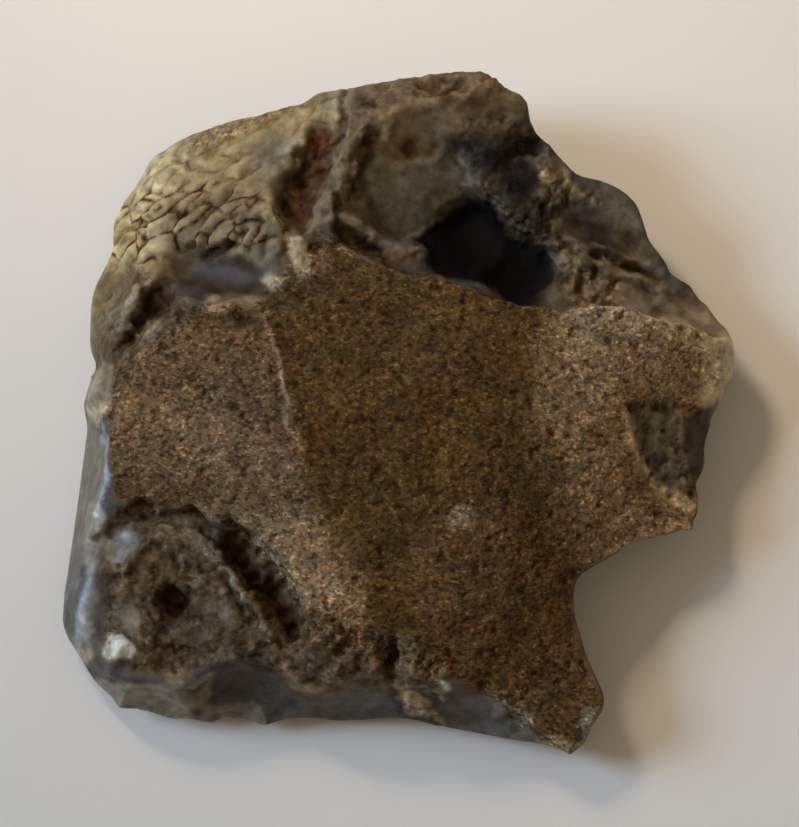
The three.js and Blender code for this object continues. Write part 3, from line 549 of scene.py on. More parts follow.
CORNER_L = [(1, -20.2), (3.2, -19.7), (4.5, -20.8), (3.7, -22.2), (1.7, -22.5), (0.5, -21.4)]
UP_L = [(-18.6, -7.9), (-16.4, -7.7), (-14.9, -8.8), (-15.6, -10.1), (-17.7, -10.4),
    (-19.2, -9.3)]
FACE_J = [(17.8, 12.9), (20, 13.5), (21.5, 12.1), (21.3, 10.5), (19.3, 10.4), (17.6, 11.4)]


# Grooves: depth, width, line.
CREASES = [
    (0.5, 0.26, [(-21, 18.6), (-19.9, 18.3), (-18.9, 18.1), (-18.1, 18.3)]),
    (0.38, 0.22, [(-18.2, 21.5), (-17.9, 20.9), (-17.1, 20.1), (-16.1, 20.1), (-15.1, 20)]),
    (0.22, 0.18, [(-18.2, 19.5), (-17.2, 20)]),
    (0.22, 0.18, [(-16.4, 19.5), (-15.5, 19.2)]),
    (0.18, 0.16, [(-20.8, 20.2), (-20.2, 20)]),
    (0.22, 0.18, [(-14.7, 21.3), (-13.8, 21.1)]),
    (0.32, 0.24, [(-17.3, 19.3), (-17.2, 18.8), (-18.1, 18.1), (-18.9, 17.8), (-20.1, 17.4),
     (-21, 17.3)]),
    (0.32, 0.22, [(-22.1, 17.1), (-21.5, 17.4)]),
    (0.42, 0.26, [(-23.4, 15.7), (-22.1, 15.8), (-21, 15.8), (-20.2, 15.9), (-19.5, 16.3),
     (-18.7, 16.6), (-18.1, 17.3), (-17.1, 17.7)]),
    (0.34, 0.24, [(-22.9, 16.6), (-21.9, 16.9), (-20.7, 16.8), (-19.7, 16.4)]),
    (0.48, 0.28, [(-19.2, 14.7), (-18.6, 15.1), (-18, 15.5), (-17.2, 16.2), (-16.4, 16.7),
     (-15.7, 16.9), (-14.8, 17.1), (-14, 17.3)]),
    (0.42, 0.26, [(-17.8, 13.5), (-17.1, 14.3), (-16.3, 15), (-15.8, 15.7), (-15.5, 16),
     (-14.7, 16.7), (-13.8, 17.6), (-12.6, 17.6)]),
    (0.42, 0.26, [(-15.9, 13.4), (-15.6, 13.8), (-15.4, 14.4), (-14.7, 15.1), (-14, 15.4),
     (-13, 15.5), (-12.3, 15.5)]),
    (0.34, 0.22, [(-12.3, 15.5), (-12.1, 16.4), (-12.1, 17)]),
    (0.6, 0.32, [(-15.7, 12.5), (-14.8, 12.7), (-13.8, 12.8), (-13.2, 13), (-12.9, 13.5),
     (-12.6, 14.1), (-12.4, 14.7)]),
    (0.36, 0.24, [(-21.1, 15.9), (-20.9, 14.5), (-20.6, 13.9), (-19.6, 13.6)]),
    (0.26, 0.22, [(-23.5, 14.5), (-22.4, 14.3), (-21.6, 14.3), (-21, 14.3)]),
    (0.2, 0.18, [(-20.6, 21.6), (-19.9, 22.1), (-18.8, 22.7)]),
    (0.32, 0.22, [(-13.1, 18.9), (-12.3, 19.5), (-11.2, 20)]),
    (0.26, 0.2, [(-14.5, 19.9), (-13.7, 20.3), (-12.8, 20.5), (-11.9, 21.2)]),
    (0.26, 0.2, [(-16.6, 18.1), (-15.8, 18.4), (-14.9, 18.6)]),
    (0.24, 0.2, [(-19.5, 14.2), (-18.8, 14.6), (-18.2, 14.9)]),
    (0.24, 0.2, [(-22.9, 12.7), (-22, 12.9), (-21.1, 12.9), (-20.1, 13.1)]),
    (0.26, 0.2, [(-24.4, 8.9), (-23.9, 8), (-23.3, 6.7)]),
    (0.3, 0.22, [(-11.6, 14.7), (-11.1, 15.5), (-10.5, 16.2)]),
    (0.3, 0.22, [(-11.1, 11.7), (-10.8, 12.4), (-10.6, 13.2), (-10.5, 13.9)]),
    (0.32, 0.22, [(-9.4, 13.5), (-9.2, 12.6), (-9.1, 11.7)]),
    (0.22, 0.18, [(-9.1, 12.4), (-8.6, 12.4), (-8.1, 12.4)]),
    (0.28, 0.22, [(-4.1, 26.8), (-4.6, 25.4), (-4.3, 23.6), (-3.6, 23.4)]),
    (0.24, 0.2, [(-0.6, 25.1), (0, 24.8), (0.7, 24.7), (1.5, 24.5)]),
    (0.3, 0.22, [(17.8, 12.6), (18.8, 12.4), (20.3, 12), (21.3, 11.5), (22, 11.2)]),
    (0.6, 0.36, CREASE_J),
    (0.35, 0.4, TAIL_D),
    (0.45, 0.3, GROOVE_TOP),
    (0.4, 0.5, GROOVE_F),
    (0.2, 0.35, UNDER_T),
    (0.4, 0.4, GROOVE2_L),
    (0.35, 0.3, [(11.2, 19.6), (11.9, 18.2), (11.4, 16.9), (12.0, 15.7)]),
    (0.35, 0.3, [(14.0, 12.9), (15.0, 11.6), (14.6, 10.2), (15.6, 9.2)]),
    (0.26, 0.2, [(19.6, 10.8), (20.3, 10.4), (21.1, 9.9)]),
    (0.3, 0.22, [(13.1, 14.6), (13.9, 14), (14.9, 13.5), (16, 13), (17.3, 12.8)]),
    (0.2, 0.18, [(7, -10.3), (7.5, -10.4), (8, -10.3)]),
    (0.24, 0.2, [(-15.9, 7.4), (-15.1, 7), (-14.1, 6.9)]),
    (0.22, 0.2, [(5.3, -21.3), (6.1, -21.9), (7, -22.5)]),
    (0.22, 0.2, [(8.1, -23), (8.7, -23.2), (9.5, -23.6)]),
]

# Thin raised lines: height, width, line.
RIDGES = [
    (0.6, 0.42, RIDGE1_L),
    (0.4, 0.5, [(-11.1, -19.9), (-9.2, -20.8), (-7.6, -21.8), (-6.0, -22.3)]),
    (0.4, 0.4, RIDGE2_L),
    (0.45, 0.5, [(-22.8, -16.2), (-22.2, -14.2), (-22.0, -12.4), (-20.9, -11.0), (-19.6, -10.4)]),
    (0.5, 0.5, FOLD_D),
    (0.4, 0.42, FOLD2_D),
    (0.4, 0.5, FOLD3_D),
    (0.6, 0.42, FOLD1),
    (0.6, 0.36, FOLD2),
    (0.5, 0.36, FOLD3),
    (0.35, 0.45, FOLD_TOP),
    (0.25, 0.4, [(-20.4, 4.8), (-20.8, 4.1), (-21.1, 3.6)]),
    (0.5, 0.45, ROLL_T),
    (0.3, 0.45, [(0.1, 25.7), (0.9, 25.3), (1.7, 24.9), (3.1, 24.7), (4.5, 24.8), (5.6, 25.3),
     (6.3, 25.7), (7.4, 25.9)]),
    (0.3, 0.4, [(5, 24.5), (5.6, 25.2), (6.3, 25.7), (7.3, 26)]),
    (0.3, 0.4, [(10.2, 20.7), (11, 20.8), (11.6, 20.9), (12.1, 21.5)]),
    (0.28, 0.38, [(13.8, 15.4), (14.7, 14.8), (15.4, 14.3), (16.1, 13.9), (16.9, 13.5),
     (17.5, 13.3)]),
    (0.3, 0.5, [(18.5, -0.1), (18.5, -1.1), (18.7, -2.2), (18.9, -3.2), (19.4, -4.5),
     (20.1, -5.6), (21.1, -6.7), (22.1, -7.2)]),
    (0.28, 0.45, [(-12.2, -14.8), (-11.5, -15.8), (-10.9, -16.9), (-10.4, -18.1),
     (-9.9, -19.2)]),
    (0.35, 0.45, [(-23.9, -8.2), (-24.1, -9.5), (-24.3, -10.9), (-24.7, -12), (-24.9, -13.6),
     (-25.2, -15.2), (-25.6, -16.7)]),
    (0.32, 0.5, [(-11.1, 6.7), (-10.2, 4.9), (-9.6, 3.1), (-8.9, 1.2), (-8.6, -0.4)]),
    (0.28, 0.6, [(-8.6, -0.4), (-8.3, -2), (-8, -3.6), (-7.6, -5)]),
    (0.22, 0.4, [(0.1, -22.5), (0.9, -23.2), (2.1, -23.9), (3.4, -24.9)]),
    (0.22, 0.4, [(-9.6, -20.3), (-8.8, -20.8), (-8, -21.6), (-7.1, -22.2), (-5.6, -22.6)]),
    (0.26, 0.4, [(2.4, 20.2), (3.1, 20.7), (3.6, 21.1), (3.8, 21.8)]),
    (0.3, 0.4, [(-1.1, 23.3), (-0.9, 22.7), (-0.7, 22)]),
]

# Steps that are high to the left of a line: height, run, line.
LEDGES = [
    (0.4, 1.2, [(12.7, 12.2), (16.3, 11.6), (19.6, 10.8), (23.6, 9.8)]),
    (0.35, 1.0, [(16.3, 13.2), (19.6, 12.2), (21.8, 11.1)]),
    (0.3, 1.0, [(20.2, 9.1), (23.6, 8.3), (26.2, 6.9)]),
    (0.3, 1.6, [(5.8, 17.7), (5, 17.5), (3.9, 16.9), (3, 16.1), (2.1, 15.3), (1.3, 14.5)]),
    (0.4, 1.4, [(-24.7, -21.4), (-23.3, -21.5), (-21.9, -21.6), (-20.2, -22), (-18.6, -22.1),
     (-16.9, -22.1), (-15.2, -21.4), (-13.5, -20.3), (-11.8, -19.7), (-10.4, -19.8)]),
    (0.3, 1.2, [(-17.3, -24.4), (-16.2, -24), (-14.1, -23.8), (-12.2, -23.9), (-10.5, -25)]),
]

# Oval hollows: place, size, depth, turn in degrees.
HOLLOWS = [
    ((-18.3, -15.6), (3.0, 3.3), 1.3, 0),
    ((-19.5, 8.7), (2.8, 3.4), 0.5, -10),
    ((-18.3, -19.8), (4.6, 3.4), 0.5, 0),
    ((-17.6, -14.0), (6.4, 4.4), 0.4, -20),
    ((-11.2, -13.3), (3.2, 9.6), 2.2, 40),
    ((-8.4, -17.4), (2.2, 4.4), 1.3, 30),
    ((-17.6, -16.8), (5.0, 6.4), 0.7, 10),
    ((15.6, 15.0), (4.6, 2.0), 0.45, -25),
    ((3.6, 26.4), (5.6, 1.3), 0.45, 4),
    ((-13.8, 12.8), (1.9, 1.7), 0.55, 20),
    ((0.9, 21.3), (1.8, 1.5), 0.25, 20),
    ((10.7, 21.5), (2.8, 1.5), 0.6, 0),
    ((-6.9, 12.4), (1.8, 1.4), 0.5, -20),
    ((-0.7, -20.5), (1.6, 4), 0.5, -8),
    ((-3.1, -20.7), (1.3, 2.2), 0.45, 10),
    ((-4.7, -19.7), (1.2, 1.3), 0.4, 0),
    ((-8.4, -18.7), (1.5, 2.6), 0.5, 20),
    ((-5.2, -16.1), (0.9, 0.9), 0.35, 0),
    ((-22, 5.7), (1.2, 1.6), 0.35, -35),
    ((-23.9, 9.9), (1.3, 0.8), 0.3, 20),
    ((21.1, 8.4), (2.6, 1.2), 0.35, 0),
    ((20.2, -2), (1.4, 2.6), 0.4, -20),
    ((21, -4.5), (1.2, 1.6), 0.35, -20),
    ((6.8, -22.1), (1.6, 1.2), 0.35, 0),
    ((-16.4, -8), (1, 1), 0.3, 0),
    ((-20.3, -8.3), (1.5, 1), 0.4, 20),
    ((-15.7, -9.6), (2.4, 1.5), 0.4, -25),
    ((-13.5, -10.3), (1.2, 2), 0.35, 0),
]

# Oval lumps: place, size, height, turn in degrees.
LUMPS = [
    ((-11.7, 13.2), (2.4, 1.8), 0.5, 0),
    ((-9.9, 12.4), (1.2, 2.4), 0.4, -15),
    ((-8.4, 13.2), (1.4, 2.4), 0.5, 0),
    ((-8.1, 11.2), (1.5, 1.8), 0.4, 0),
    ((-10.0, 11.8), (1.9, 2.6), 0.5, 0),
    ((-19.3, 20), (2.6, 1.9), 0.45, 20),
    ((-14.8, 8.7), (1.7, 1.1), 0.4, -15),
    ((-14, 7.6), (3.6, 1.4), 0.4, 10),
    ((-11.9, 5.7), (2, 1.8), 0.4, 0),
    ((1.9, 12.5), (1.3, 2.2), 0.5, 0),
    ((-7.9, 21.9), (1.4, 1.6), 0.5, 0),
    ((-8.7, 19.9), (1.6, 2), 0.5, -20),
    ((-24.7, 1.9), (1.6, 2.4), 0.45, 0),
    ((-23.8, -0.8), (1.9, 1.7), 0.45, -35),
    ((-22.5, -19.2), (1.7, 1.9), 0.5, -20),
    ((-21.6, -10.1), (2, 1.5), 0.35, 20),
    ((-5.6, -17.7), (2.2, 2), 0.5, 0),
    ((-2.1, -21.1), (1.2, 1.5), 0.5, 0),
    ((1.7, -21.1), (2, 1.5), 0.45, 0),
    ((3.5, -22.4), (1.5, 0.9), 0.5, 40),
    ((-13.6, -7.5), (1.6, 1.2), 0.4, 20),
    ((-9.5, -12.3), (1.4, 1.2), 0.4, 0),
    ((-10.8, -11), (2, 1.4), 0.4, -40),
    ((-12.4, -12), (1.2, 1.2), 0.35, 0),
    ((8.1, -24.1), (1.3, 1.8), 0.4, -30),
    ((9, -25.3), (1.2, 1.2), 0.35, 0),
]

# Linear RGB colours.
COLOURS = {
    "flint": (0.070, 0.064, 0.056),
    "sand": (0.080, 0.050, 0.016),
    "sand_left": (0.118, 0.080, 0.044),
    "sand_dark": (0.115, 0.072, 0.033),
    "sand_pale": (0.345, 0.262, 0.168),
    "pale": (0.42, 0.34, 0.22),
    "olive": (0.265, 0.215, 0.115),
    "bright": (0.42, 0.36, 0.20),
    "ochre": (0.27, 0.20, 0.11),
    "haze": (0.128, 0.107, 0.07),
    "slate": (0.095, 0.088, 0.075),
    "facet": (0.042, 0.029, 0.017),
    "grey": (0.22, 0.195, 0.145),
    "dun": (0.16, 0.115, 0.058),
    "rust": (0.10, 0.034, 0.008),
    "bark": (0.045, 0.022, 0.010),
    # black flint, made darker still as painted shadow in the hollow behind the cortex's edge
    "black_and_shadow": (0.0025, 0.0015, 0.0025),
    "bottle": (0.016, 0.017, 0.014),
    "smoke": (0.125, 0.112, 0.078),
    "umber": (0.12, 0.085, 0.048),
    "cream": (0.48, 0.41, 0.27),
    "chalk": (0.58, 0.60, 0.56),
    "sky": (0.27, 0.31, 0.36),
    "strip": (0.135, 0.122, 0.093),
    "mist": (0.29, 0.275, 0.23),
    "dusk": (0.085, 0.08, 0.076),
    "rock": (0.115, 0.085, 0.052),
    "shale": (0.15, 0.118, 0.078),
    "earth": (0.075, 0.048, 0.026),
    "shade": (0.045, 0.034, 0.027),
}

# Where the blow fell that struck the flake off, in mm.
STRIKE = (6.0, 24.0, 4.0)
# How much sooner faces are joined on the underside than on top.
HIDDEN_WEIGHT = 0.004
# Rounds of smoothing: reach and crisp are explained in Sheet.soften.
FACET_SMOOTHING = {"reach": 45, "crisp": 0.24, "rounds": 18}
ROUNDING_ROUNDS = 60
SETTLING_ROUNDS = 2
HOLLOW_ROUNDS = 12
# Depth in mm below its surroundings at which a point counts as a hollow.
HOLLOW_DEPTH = 0.12
# Shapes that are rounded off before the relief is cut, and how strongly.
ROUNDED = [
    (1.0, WRINKLED_CORE), (1.0, SHOULDER), (1.0, LOW_L), (1.0, ROUGH_J), (1.0, AREA_E),
    (1.0, TOP_BAND), (1.0, SCOOP_H), (1.0, O_SCAR), (1.0, FOLDS_E), (1.0, GREEN_G),
    (1.8, PIT_SOFT_L), (1.6, PIT_AREA_J), (1.2, AROUND_C),
]
# Shallow hollows that are brought nearly to one plane: strength, softness, outline.
LEVELLED = [
    (0.85, 0.9, FACET_C),
    (0.8, 1.2, AREA_E),
    (0.8, 0.5, SCAR_F),
    (0.55, 0.8, BLACK_G),
    (0.75, 0.9, PIT_AREA_J),
    (0.6, 0.6, TOP_BAND),
    (0.75, 0.9, PIT_RIM_L),
]

# Areas of colour, painted in this order: colour, softness of the edge, strength, outline.
AREAS = [
    ("olive", 1.5, 1.0, WRINKLED),
    ("bright", 0.9, 0.8, LEFT_A),
    ("dun", 0.5, 0.7, SANDY_B),
    ("haze", 1.2, 0.45, [(-19.0, 15.5), (-16.0, 18.5), (-12.5, 19.0), (-11.5, 15.5), (-13.5, 12.6),
                         (-18.0, 12.4)]),
    ("haze", 1.0, 0.9, BAND_A),
    ("haze", 0.7, 0.8, MOTTLE_A),
    ("mist", 0.3, 0.5, BLOCK_A),
    ("shale", 0.6, 1.0, ROUGH_J),
    ("umber", 1.1, 1.0, [(-5.0, 15.5), (-6.0, 18.0), (-4.0, 22.0), (-4.4, 27.5), (6.5, 29.0),
                         (11.0, 26.0), (11.0, 22.4), (9.0, 21.6), (4.0, 22.0), (-2.0, 14.0)]),
    ("ochre", 0.7, 0.5, [(-3.5, 24.0), (-2.6, 21.0), (1.5, 20.8), (4.6, 22.2), (7.0, 22.4),
                         (9.6, 22.6), (9.6, 24.6), (4.0, 24.4), (0.0, 24.8)]),
    ("ochre", 0.8, 0.45, [(5.5, 25.6), (7.5, 24.6), (10.5, 24.6), (9.5, 26.5), (6.5, 27.5)]),
    ("smoke", 0.4, 1.0, SCAR_F),
    ("bottle", 1.2, 0.5, GREEN_G),
    # partly painted shadow: dark flint in the cortex edge's cast shadow
    ("bottle", 0.9, 0.9, DARK_LOW_G),
    # black flint, darkened further by painted shadow in the hollow behind the cortex's edge
    ("black_and_shadow", 0.4, 1.0, BLACK_G),
    ("black_and_shadow", 0.8, 0.7, DARK_UP_G),
    ("shale", 0.6, 0.12, [(5.6, 18.2), (6.6, 18.9), (7.7, 18.7), (8.5, 17.6), (9.3, 16.5),
                         (10.3, 16.6), (10.0, 14.2), (8.7, 15.0), (7.2, 17.2)]),
    ("rock", 0.5, 0.9, FOLDS_E),
    ("rock", 0.6, 0.7, [(-7.6, 16.2), (-5.6, 17.0), (-5.2, 14.6), (-7.2, 13.6)]),
    ("earth", 0.5, 0.95, AREA_E),
    ("bark", 0.6, 0.8, DARK_E),
    ("rust", 0.8, 0.35, RUST2_E),
    ("rust", 0.5, 0.95, RUST_E),
    # partly painted shade on the scar's shadowed left wall
    ("bark", 0.6, 0.25, DARK_F),
    ("umber", 0.4, 1.0, SCOOP_H),
    ("umber", 0.5, 0.7, RIM_H),
    ("dusk", 0.5, 0.8, FACET2_J),
    ("shale", 0.5, 0.6, FACET3_J),
    ("smoke", 0.7, 0.8, GREY_J),
    ("haze", 0.5, 0.6, LOW_LUMP_J),
    # partly painted shade: the hollow darkened where it lies in soft shadow
    ("bark", 0.9, 0.4, HOLLOW_J),
    ("umber", 0.5, 0.8, BROWN_BAND_J),
    ("pale", 0.5, 0.25, FACE_J),
    # painted highlights on two lumps
    ("pale", 0.4, 0.5, LUMP_HIGHLIGHT_J1),
    ("pale", 0.4, 0.4, LUMP_HIGHLIGHT_J2),
    ("sand", 0.15, 1.0, CORTEX),
    ("sand_left", 1.4, 1.0, CORTEX_LEFT),
    ("sand_pale", 1.6, 0.2, LEFT_PALE),
    ("sand_dark", 1.5, 0.8, LOWER_RIGHT),
    ("sand_pale", 3.0, 0.85, ARM),
    ("sand_pale", 2.6, 0.65, BRIGHT_MID),
    ("sand_dark", 0.5, 0.6, EDGE_LOW),
    ("facet", 0.3, 1.0, FACET_C),
    ("haze", 0.4, 0.8, FACET_CL),
    ("ochre", 0.4, 0.6, LEDGE_C),
    ("rock", 0.6, 0.9, SHOULDER),
    ("dun", 0.8, 0.4, UPPER_D),
    ("grey", 0.6, 0.4, SIDE_D),
    ("dun", 0.6, 0.8, SMOOTH_DL),
    ("grey", 0.5, 0.8, SIDE_ML),
    ("bark", 0.5, 0.9, PIT_D),
    ("mist", 0.5, 0.5, ARM_GREY),
    ("cream", 0.6, 0.75, ARM_TOP),
    ("strip", 0.5, 0.95, O_SCAR),
    ("pale", 0.3, 0.95, O_RIM),
    ("pale", 0.6, 0.45, O_RIM2),
    ("cream", 0.4, 0.95, KNOB),
    ("shade", 0.3, 0.9, SIDE_O),
    ("pale", 0.4, 0.5, ARM_FRONT),
    ("rock", 0.4, 0.9, LOW_L),
    ("dun", 0.8, 0.6, [(-18.8, -9.4), (-16.2, -9.0), (-14.6, -10.0), (-16.2, -11.4),
                       (-18.8, -11.0)]),
    ("earth", 0.7, 0.8, BOWL_L),
    ("ochre", 0.6, 0.4, UP_L),
    ("ochre", 0.6, 0.4, CORNER_L),
    ("strip", 0.3, 0.95, STRIP_M),
    ("strip", 0.3, 0.7, STRIP_M2),
    ("mist", 0.3, 0.6, STRIP_L),
    ("shade", 0.4, 0.35, STRIP_DARK),
    ("sky", 0.5, 0.75, BLUE_L),
    ("grey", 0.4, 0.9, BROWN_L),
    ("chalk", 0.2, 1.0, CHIP_L),
    ("cream", 0.3, 0.9, CREAM_ML),
    ("shade", 0.3, 0.7, STRIP_GREY),
    ("mist", 0.5, 0.4, BLUE2_L),
    ("mist", 0.6, 0.25, BLUE3_L),
    ("cream", 0.3, 0.6, PALE_CORNER),
    ("bark", 1.0, 0.85, PIT_L),
    # dark brown, partly painted shade on the groove's shadowed floor
    ("bark", 0.5, 0.9, GROOVE_L),
    ("sand_pale", 0.6, 0.6, CRUMB_RIM),
    ("rock", 0.5, 0.8, CRUMB_1),
    ("haze", 0.6, 0.6, CRUMB_2),
    ("ochre", 0.4, 0.5, ORANGE_L),
    ("grey", 0.16, 0.8, N_ONE),
    ("flint", 0.16, 0.8, N_TWO),
    ("grey", 0.16, 0.7, N_LIP),
    ("dusk", 0.16, 0.9, N_THREE),
    ("pale", 0.25, 0.9, N_RIDGE),
    ("strip", 0.16, 0.8, N_FOUR),
    ("shale", 0.16, 0.8, N_VEIN),
    ("pale", 0.2, 0.7, N_TIP),
    ("mist", 0.3, 0.7, TIP_SIDE),
    ("pale", 0.4, 0.35, PALE_PATCH),
    ("haze", 0.4, 0.9, GREYLUMP_K),
    ("cream", 0.3, 0.6, CREAM2_K),
    ("cream", 0.35, 0.75, CREAM_K),
    ("ochre", 0.6, 0.5, RUST_K),
    ("rust", 0.6, 0.3, RUST_K),
    ("cream", 0.2, 0.6, WHITE_F),
    ("rust", 0.5, 0.65, REDDISH_F),
    ("bark", 0.3, 0.8, RUST_J),
    ("cream", 0.25, 0.4, FLECKS_J),
    ("cream", 0.2, 0.4, FLECKS_J2),
    ("cream", 0.25, 0.5, WHITE_J),
    ("chalk", 0.2, 0.8, SPARK),
]

# Lines of colour: colour, width, strength, line. The pale lines along ridges and folds are painted
# highlights.
STREAKS = [
    ("bark", 0.30, 0.8, [(-15.7, 12.5), (-14.8, 12.7), (-13.8, 12.8), (-13.0, 13.4)]),
    ("bark", 0.55, 0.6, GROOVE2_L),
    # painted highlights along the ridges of the low corner
    ("mist", 0.35, 0.35, RIDGE1_L),
    ("mist", 0.3, 0.2, RIDGE2_L),
    ("bark", 0.4, 0.75, CREASE_J),
    # painted highlight along the edge of the left side
    ("mist", 0.4, 0.85, STRIP_LIGHT),
    ("bark", 0.6, 0.3, TAIL_D),
    # painted highlights along the shoulder's folds
    ("mist", 0.35, 0.35, FOLD_D),
    ("mist", 0.3, 0.35, FOLD2_D),
    # painted highlights along the folds beside the rusty pit
    ("grey", 0.35, 0.2, FOLD1),
    ("grey", 0.35, 0.2, FOLD2),
    ("grey", 0.35, 0.25, FOLD3),
    # painted highlight along the roll over the scoop
    ("grey", 0.5, 0.7, ROLL_T),
    ("ochre", 0.4, 0.6, RUST_RIDGE),
    ("sky", 0.3, 0.6, EDGE_M),
    ("rust", 0.25, 0.7, RUST_STREAK),
    ("pale", 0.2, 0.6, VEIN1),
    ("ochre", 0.2, 0.6, VEIN2),
    # painted highlight along the cortex's ridge
    ("pale", 0.3, 0.3, CORTEX_RIDGE),
]

# Spots of colour: colour, strength, place, size, turn.
SPOTS = [
    ("bright", 0.8, (-19.2, 20.0), (3.4, 2.6), 20),
    ("bright", 0.5, (-21.6, 16.6), (2.4, 1.8), 10),
    ("bright", 0.4, (-14.4, 23.4), (2.4, 1.2), 15),
    ("rust", 0.5, (-15.8, 21.6), (2.2, 0.8), 15),
    ("rust", 0.4, (-22.6, 14.6), (1.8, 1.0), 0),
    ("rust", 0.8, (-5.1, -16.1), (0.7, 1.0), 0),
    ("rust", 0.6, (4.3, -20.3), (1.3, 1.0), 0),
    ("slate", 0.6, (17.0, 4.6), (0.9, 0.9), 0),
    ("chalk", 0.8, (5.8, -7.8), (0.4, 0.35), 0),
    ("chalk", 0.8, (-24.2, -8.3), (0.4, 0.5), 0),
]

# Places of each kind of surface: share, softness of the edge, outline.
CRUMBLY = [
    (0.8, 0.8, CRUMB_RIM), (0.8, 0.6, CRUMB_1), (0.8, 0.6, CRUMB_2), (0.06, 0.5, LOW_L),
    (0.25, 0.6, ROUGH_J), (0.2, 0.8, SHOULDER),
]
WRINKLY = [
    (1.0, 1.0, DEEP_A), (0.45, 0.8, WRINKLED), (0.4, 0.8, TOP_BAND), (0.4, 0.8, AREA_E),
    (0.5, 0.5, SCOOP_H), (0.35, 0.8, SHOULDER),
]
SMOOTH = [
    (1.0, 0.5, FACET_C), (1.0, 0.5, PIT_L), (0.8, 0.8, BAND_A), (1.0, 0.4, STRIP_L),
    (0.9, 0.3, CHIP_L), (0.9, 0.3, BLUE_L), (0.8, 0.3, BLUE2_L), (0.6, 0.3, BLUE3_L),
    (0.9, 0.3, SIDE_O), (0.6, 0.6, SMOOTH_DL), (0.9, 0.4, SIDE_ML), (0.8, 0.4, GREYLUMP_K),
    (0.7, 0.5, FACET_CL),
]
ROUGH = [
    (0.85, 0.5, LOW_L), (0.55, 0.8, SHOULDER), (1.0, 0.8, ROUGH_J), (0.6, 0.5, FOLDS_E),
    (0.3, 0.5, FACET2_J), (0.5, 0.8, GREEN_G), (0.5, 0.8, TOP_BAND), (0.7, 0.4, O_SCAR),
    (0.4, 0.5, SANDY_B), (0.7, 0.8, AREA_E), (0.8, 0.3, N_RIDGE), (0.25, 0.5, BLACK_G),
    (0.35, 0.5, SCOOP_H),
]
SANDY = [
    (1.0, 0.15, CORTEX), (0.45, 0.5, LOW_L), (0.3, 0.8, SHOULDER), (0.8, 0.5, SANDY_B),
    (0.25, 0.8, TOP_BAND), (0.4, 0.3, N_RIDGE),
]
SANDLESS = [
    (0.8, 0.3, CREAM_K), (0.85, 0.4, O_SCAR), (0.6, 0.4, KNOB), (0.4, 0.3, O_RIM),
    (0.4, 0.3, O_RIM2),
]
MOTTLED = [
    (1.0, 0.8, ROUGH_J), (0.7, 0.8, AREA_E), (0.5, 0.8, TOP_BAND), (1.0, 1.0, GREEN_G),
    (0.5, 0.8, DARK_LOW_G), (0.4, 0.8, GREY_J), (0.6, 0.4, O_SCAR), (0.5, 0.3, N_RIDGE),
    (0.5, 0.8, SHOULDER), (0.7, 0.5, LOW_L), (0.3, 0.4, SCAR_F), (0.5, 0.4, FOLDS_E),
]


# ------------------------------------------------------------------ settings

class FLINT_PG_sizes(PropertyGroup):
    """Sizes of the mesh and of its relief"""
    blank_cell: FloatProperty(
        name="Blank cell", description="Size of the faces that the smooth form is made in",
        default=0.2 * MM, min=0.1 * MM, precision=5, unit="LENGTH")
    mesh_cell: FloatProperty(
        name="Mesh cell", description="Size of the faces that the relief is cut in",
        default=0.16 * MM, min=0.1 * MM, precision=5, unit="LENGTH")
    faces: IntProperty(
        name="Faces", description="Triangles in the finished mesh", default=197000, min=20000)
    crumb_spacing: FloatProperty(
        name="Crumb spacing", description="Least distance between loose crumbs",
        default=0.55 * MM, precision=5, unit="LENGTH")
    crumb_radius: FloatProperty(
        name="Crumb radius", description="Radius of the largest crumbs",
        default=0.5 * MM, precision=5, unit="LENGTH")
    wrinkle_spacing: FloatProperty(
        name="Wrinkle spacing", description="Distance between wrinkles of the weathered flint",
        default=1.7 * MM, precision=5, unit="LENGTH")
    wrinkle_depth: FloatProperty(
        name="Wrinkle depth", description="Depth of the creases between them",
        default=0.26 * MM, precision=5, unit="LENGTH")
    lump_size: FloatProperty(
        name="Lump size", description="Size of the lumps in the rough hollow",
        default=1.5 * MM, precision=5, unit="LENGTH")
    lump_depth: FloatProperty(
        name="Lump depth", description="How far the lumps stand out",
        default=0.42 * MM, precision=5, unit="LENGTH")
    grain_size: FloatProperty(
        name="Grain size", description="Size of the sand grains on the cortex",
        default=0.5 * MM, precision=5, unit="LENGTH")
    grain_depth: FloatProperty(
        name="Grain depth", description="How far the grains stand out",
        default=0.12 * MM, precision=5, unit="LENGTH")
    ripple_spacing: FloatProperty(
        name="Ripple spacing", description="Distance between the rings on struck faces",
        default=2.1 * MM, precision=5, unit="LENGTH")
    ripple_depth: FloatProperty(
        name="Ripple depth", description="Depth of the rings on struck faces",
        default=0.05 * MM, precision=5, unit="LENGTH")


class FLINT_PG_colours(PropertyGroup):
    """Colours that can be set apart from the stone's own"""
    floor: FloatVectorProperty(
        name="Floor", description="Colour of the pale floor", subtype="COLOR", size=3,
        min=0, max=1, default=(0.85, 0.84, 0.82))


# ------------------------------------------------------------------ the stone's mesh

def stone_blank(cell):
    """A fine closed copy of the solid, in mm."""
    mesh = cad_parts[NODE].data.copy()
    mesh.transform(Matrix.Scale(1 / MM, 4))
    work = bmesh.new()
    work.from_mesh(mesh)
    bmesh.ops.remove_doubles(work, verts=work.verts, dist=1e-4)
    work.to_mesh(mesh)
    work.free()
    mesh.materials.clear()
    piece = bpy.data.objects.new(PIECE, mesh)
    bpy.context.scene.collection.objects.link(piece)
    remeshed(piece, cell)
    return piece


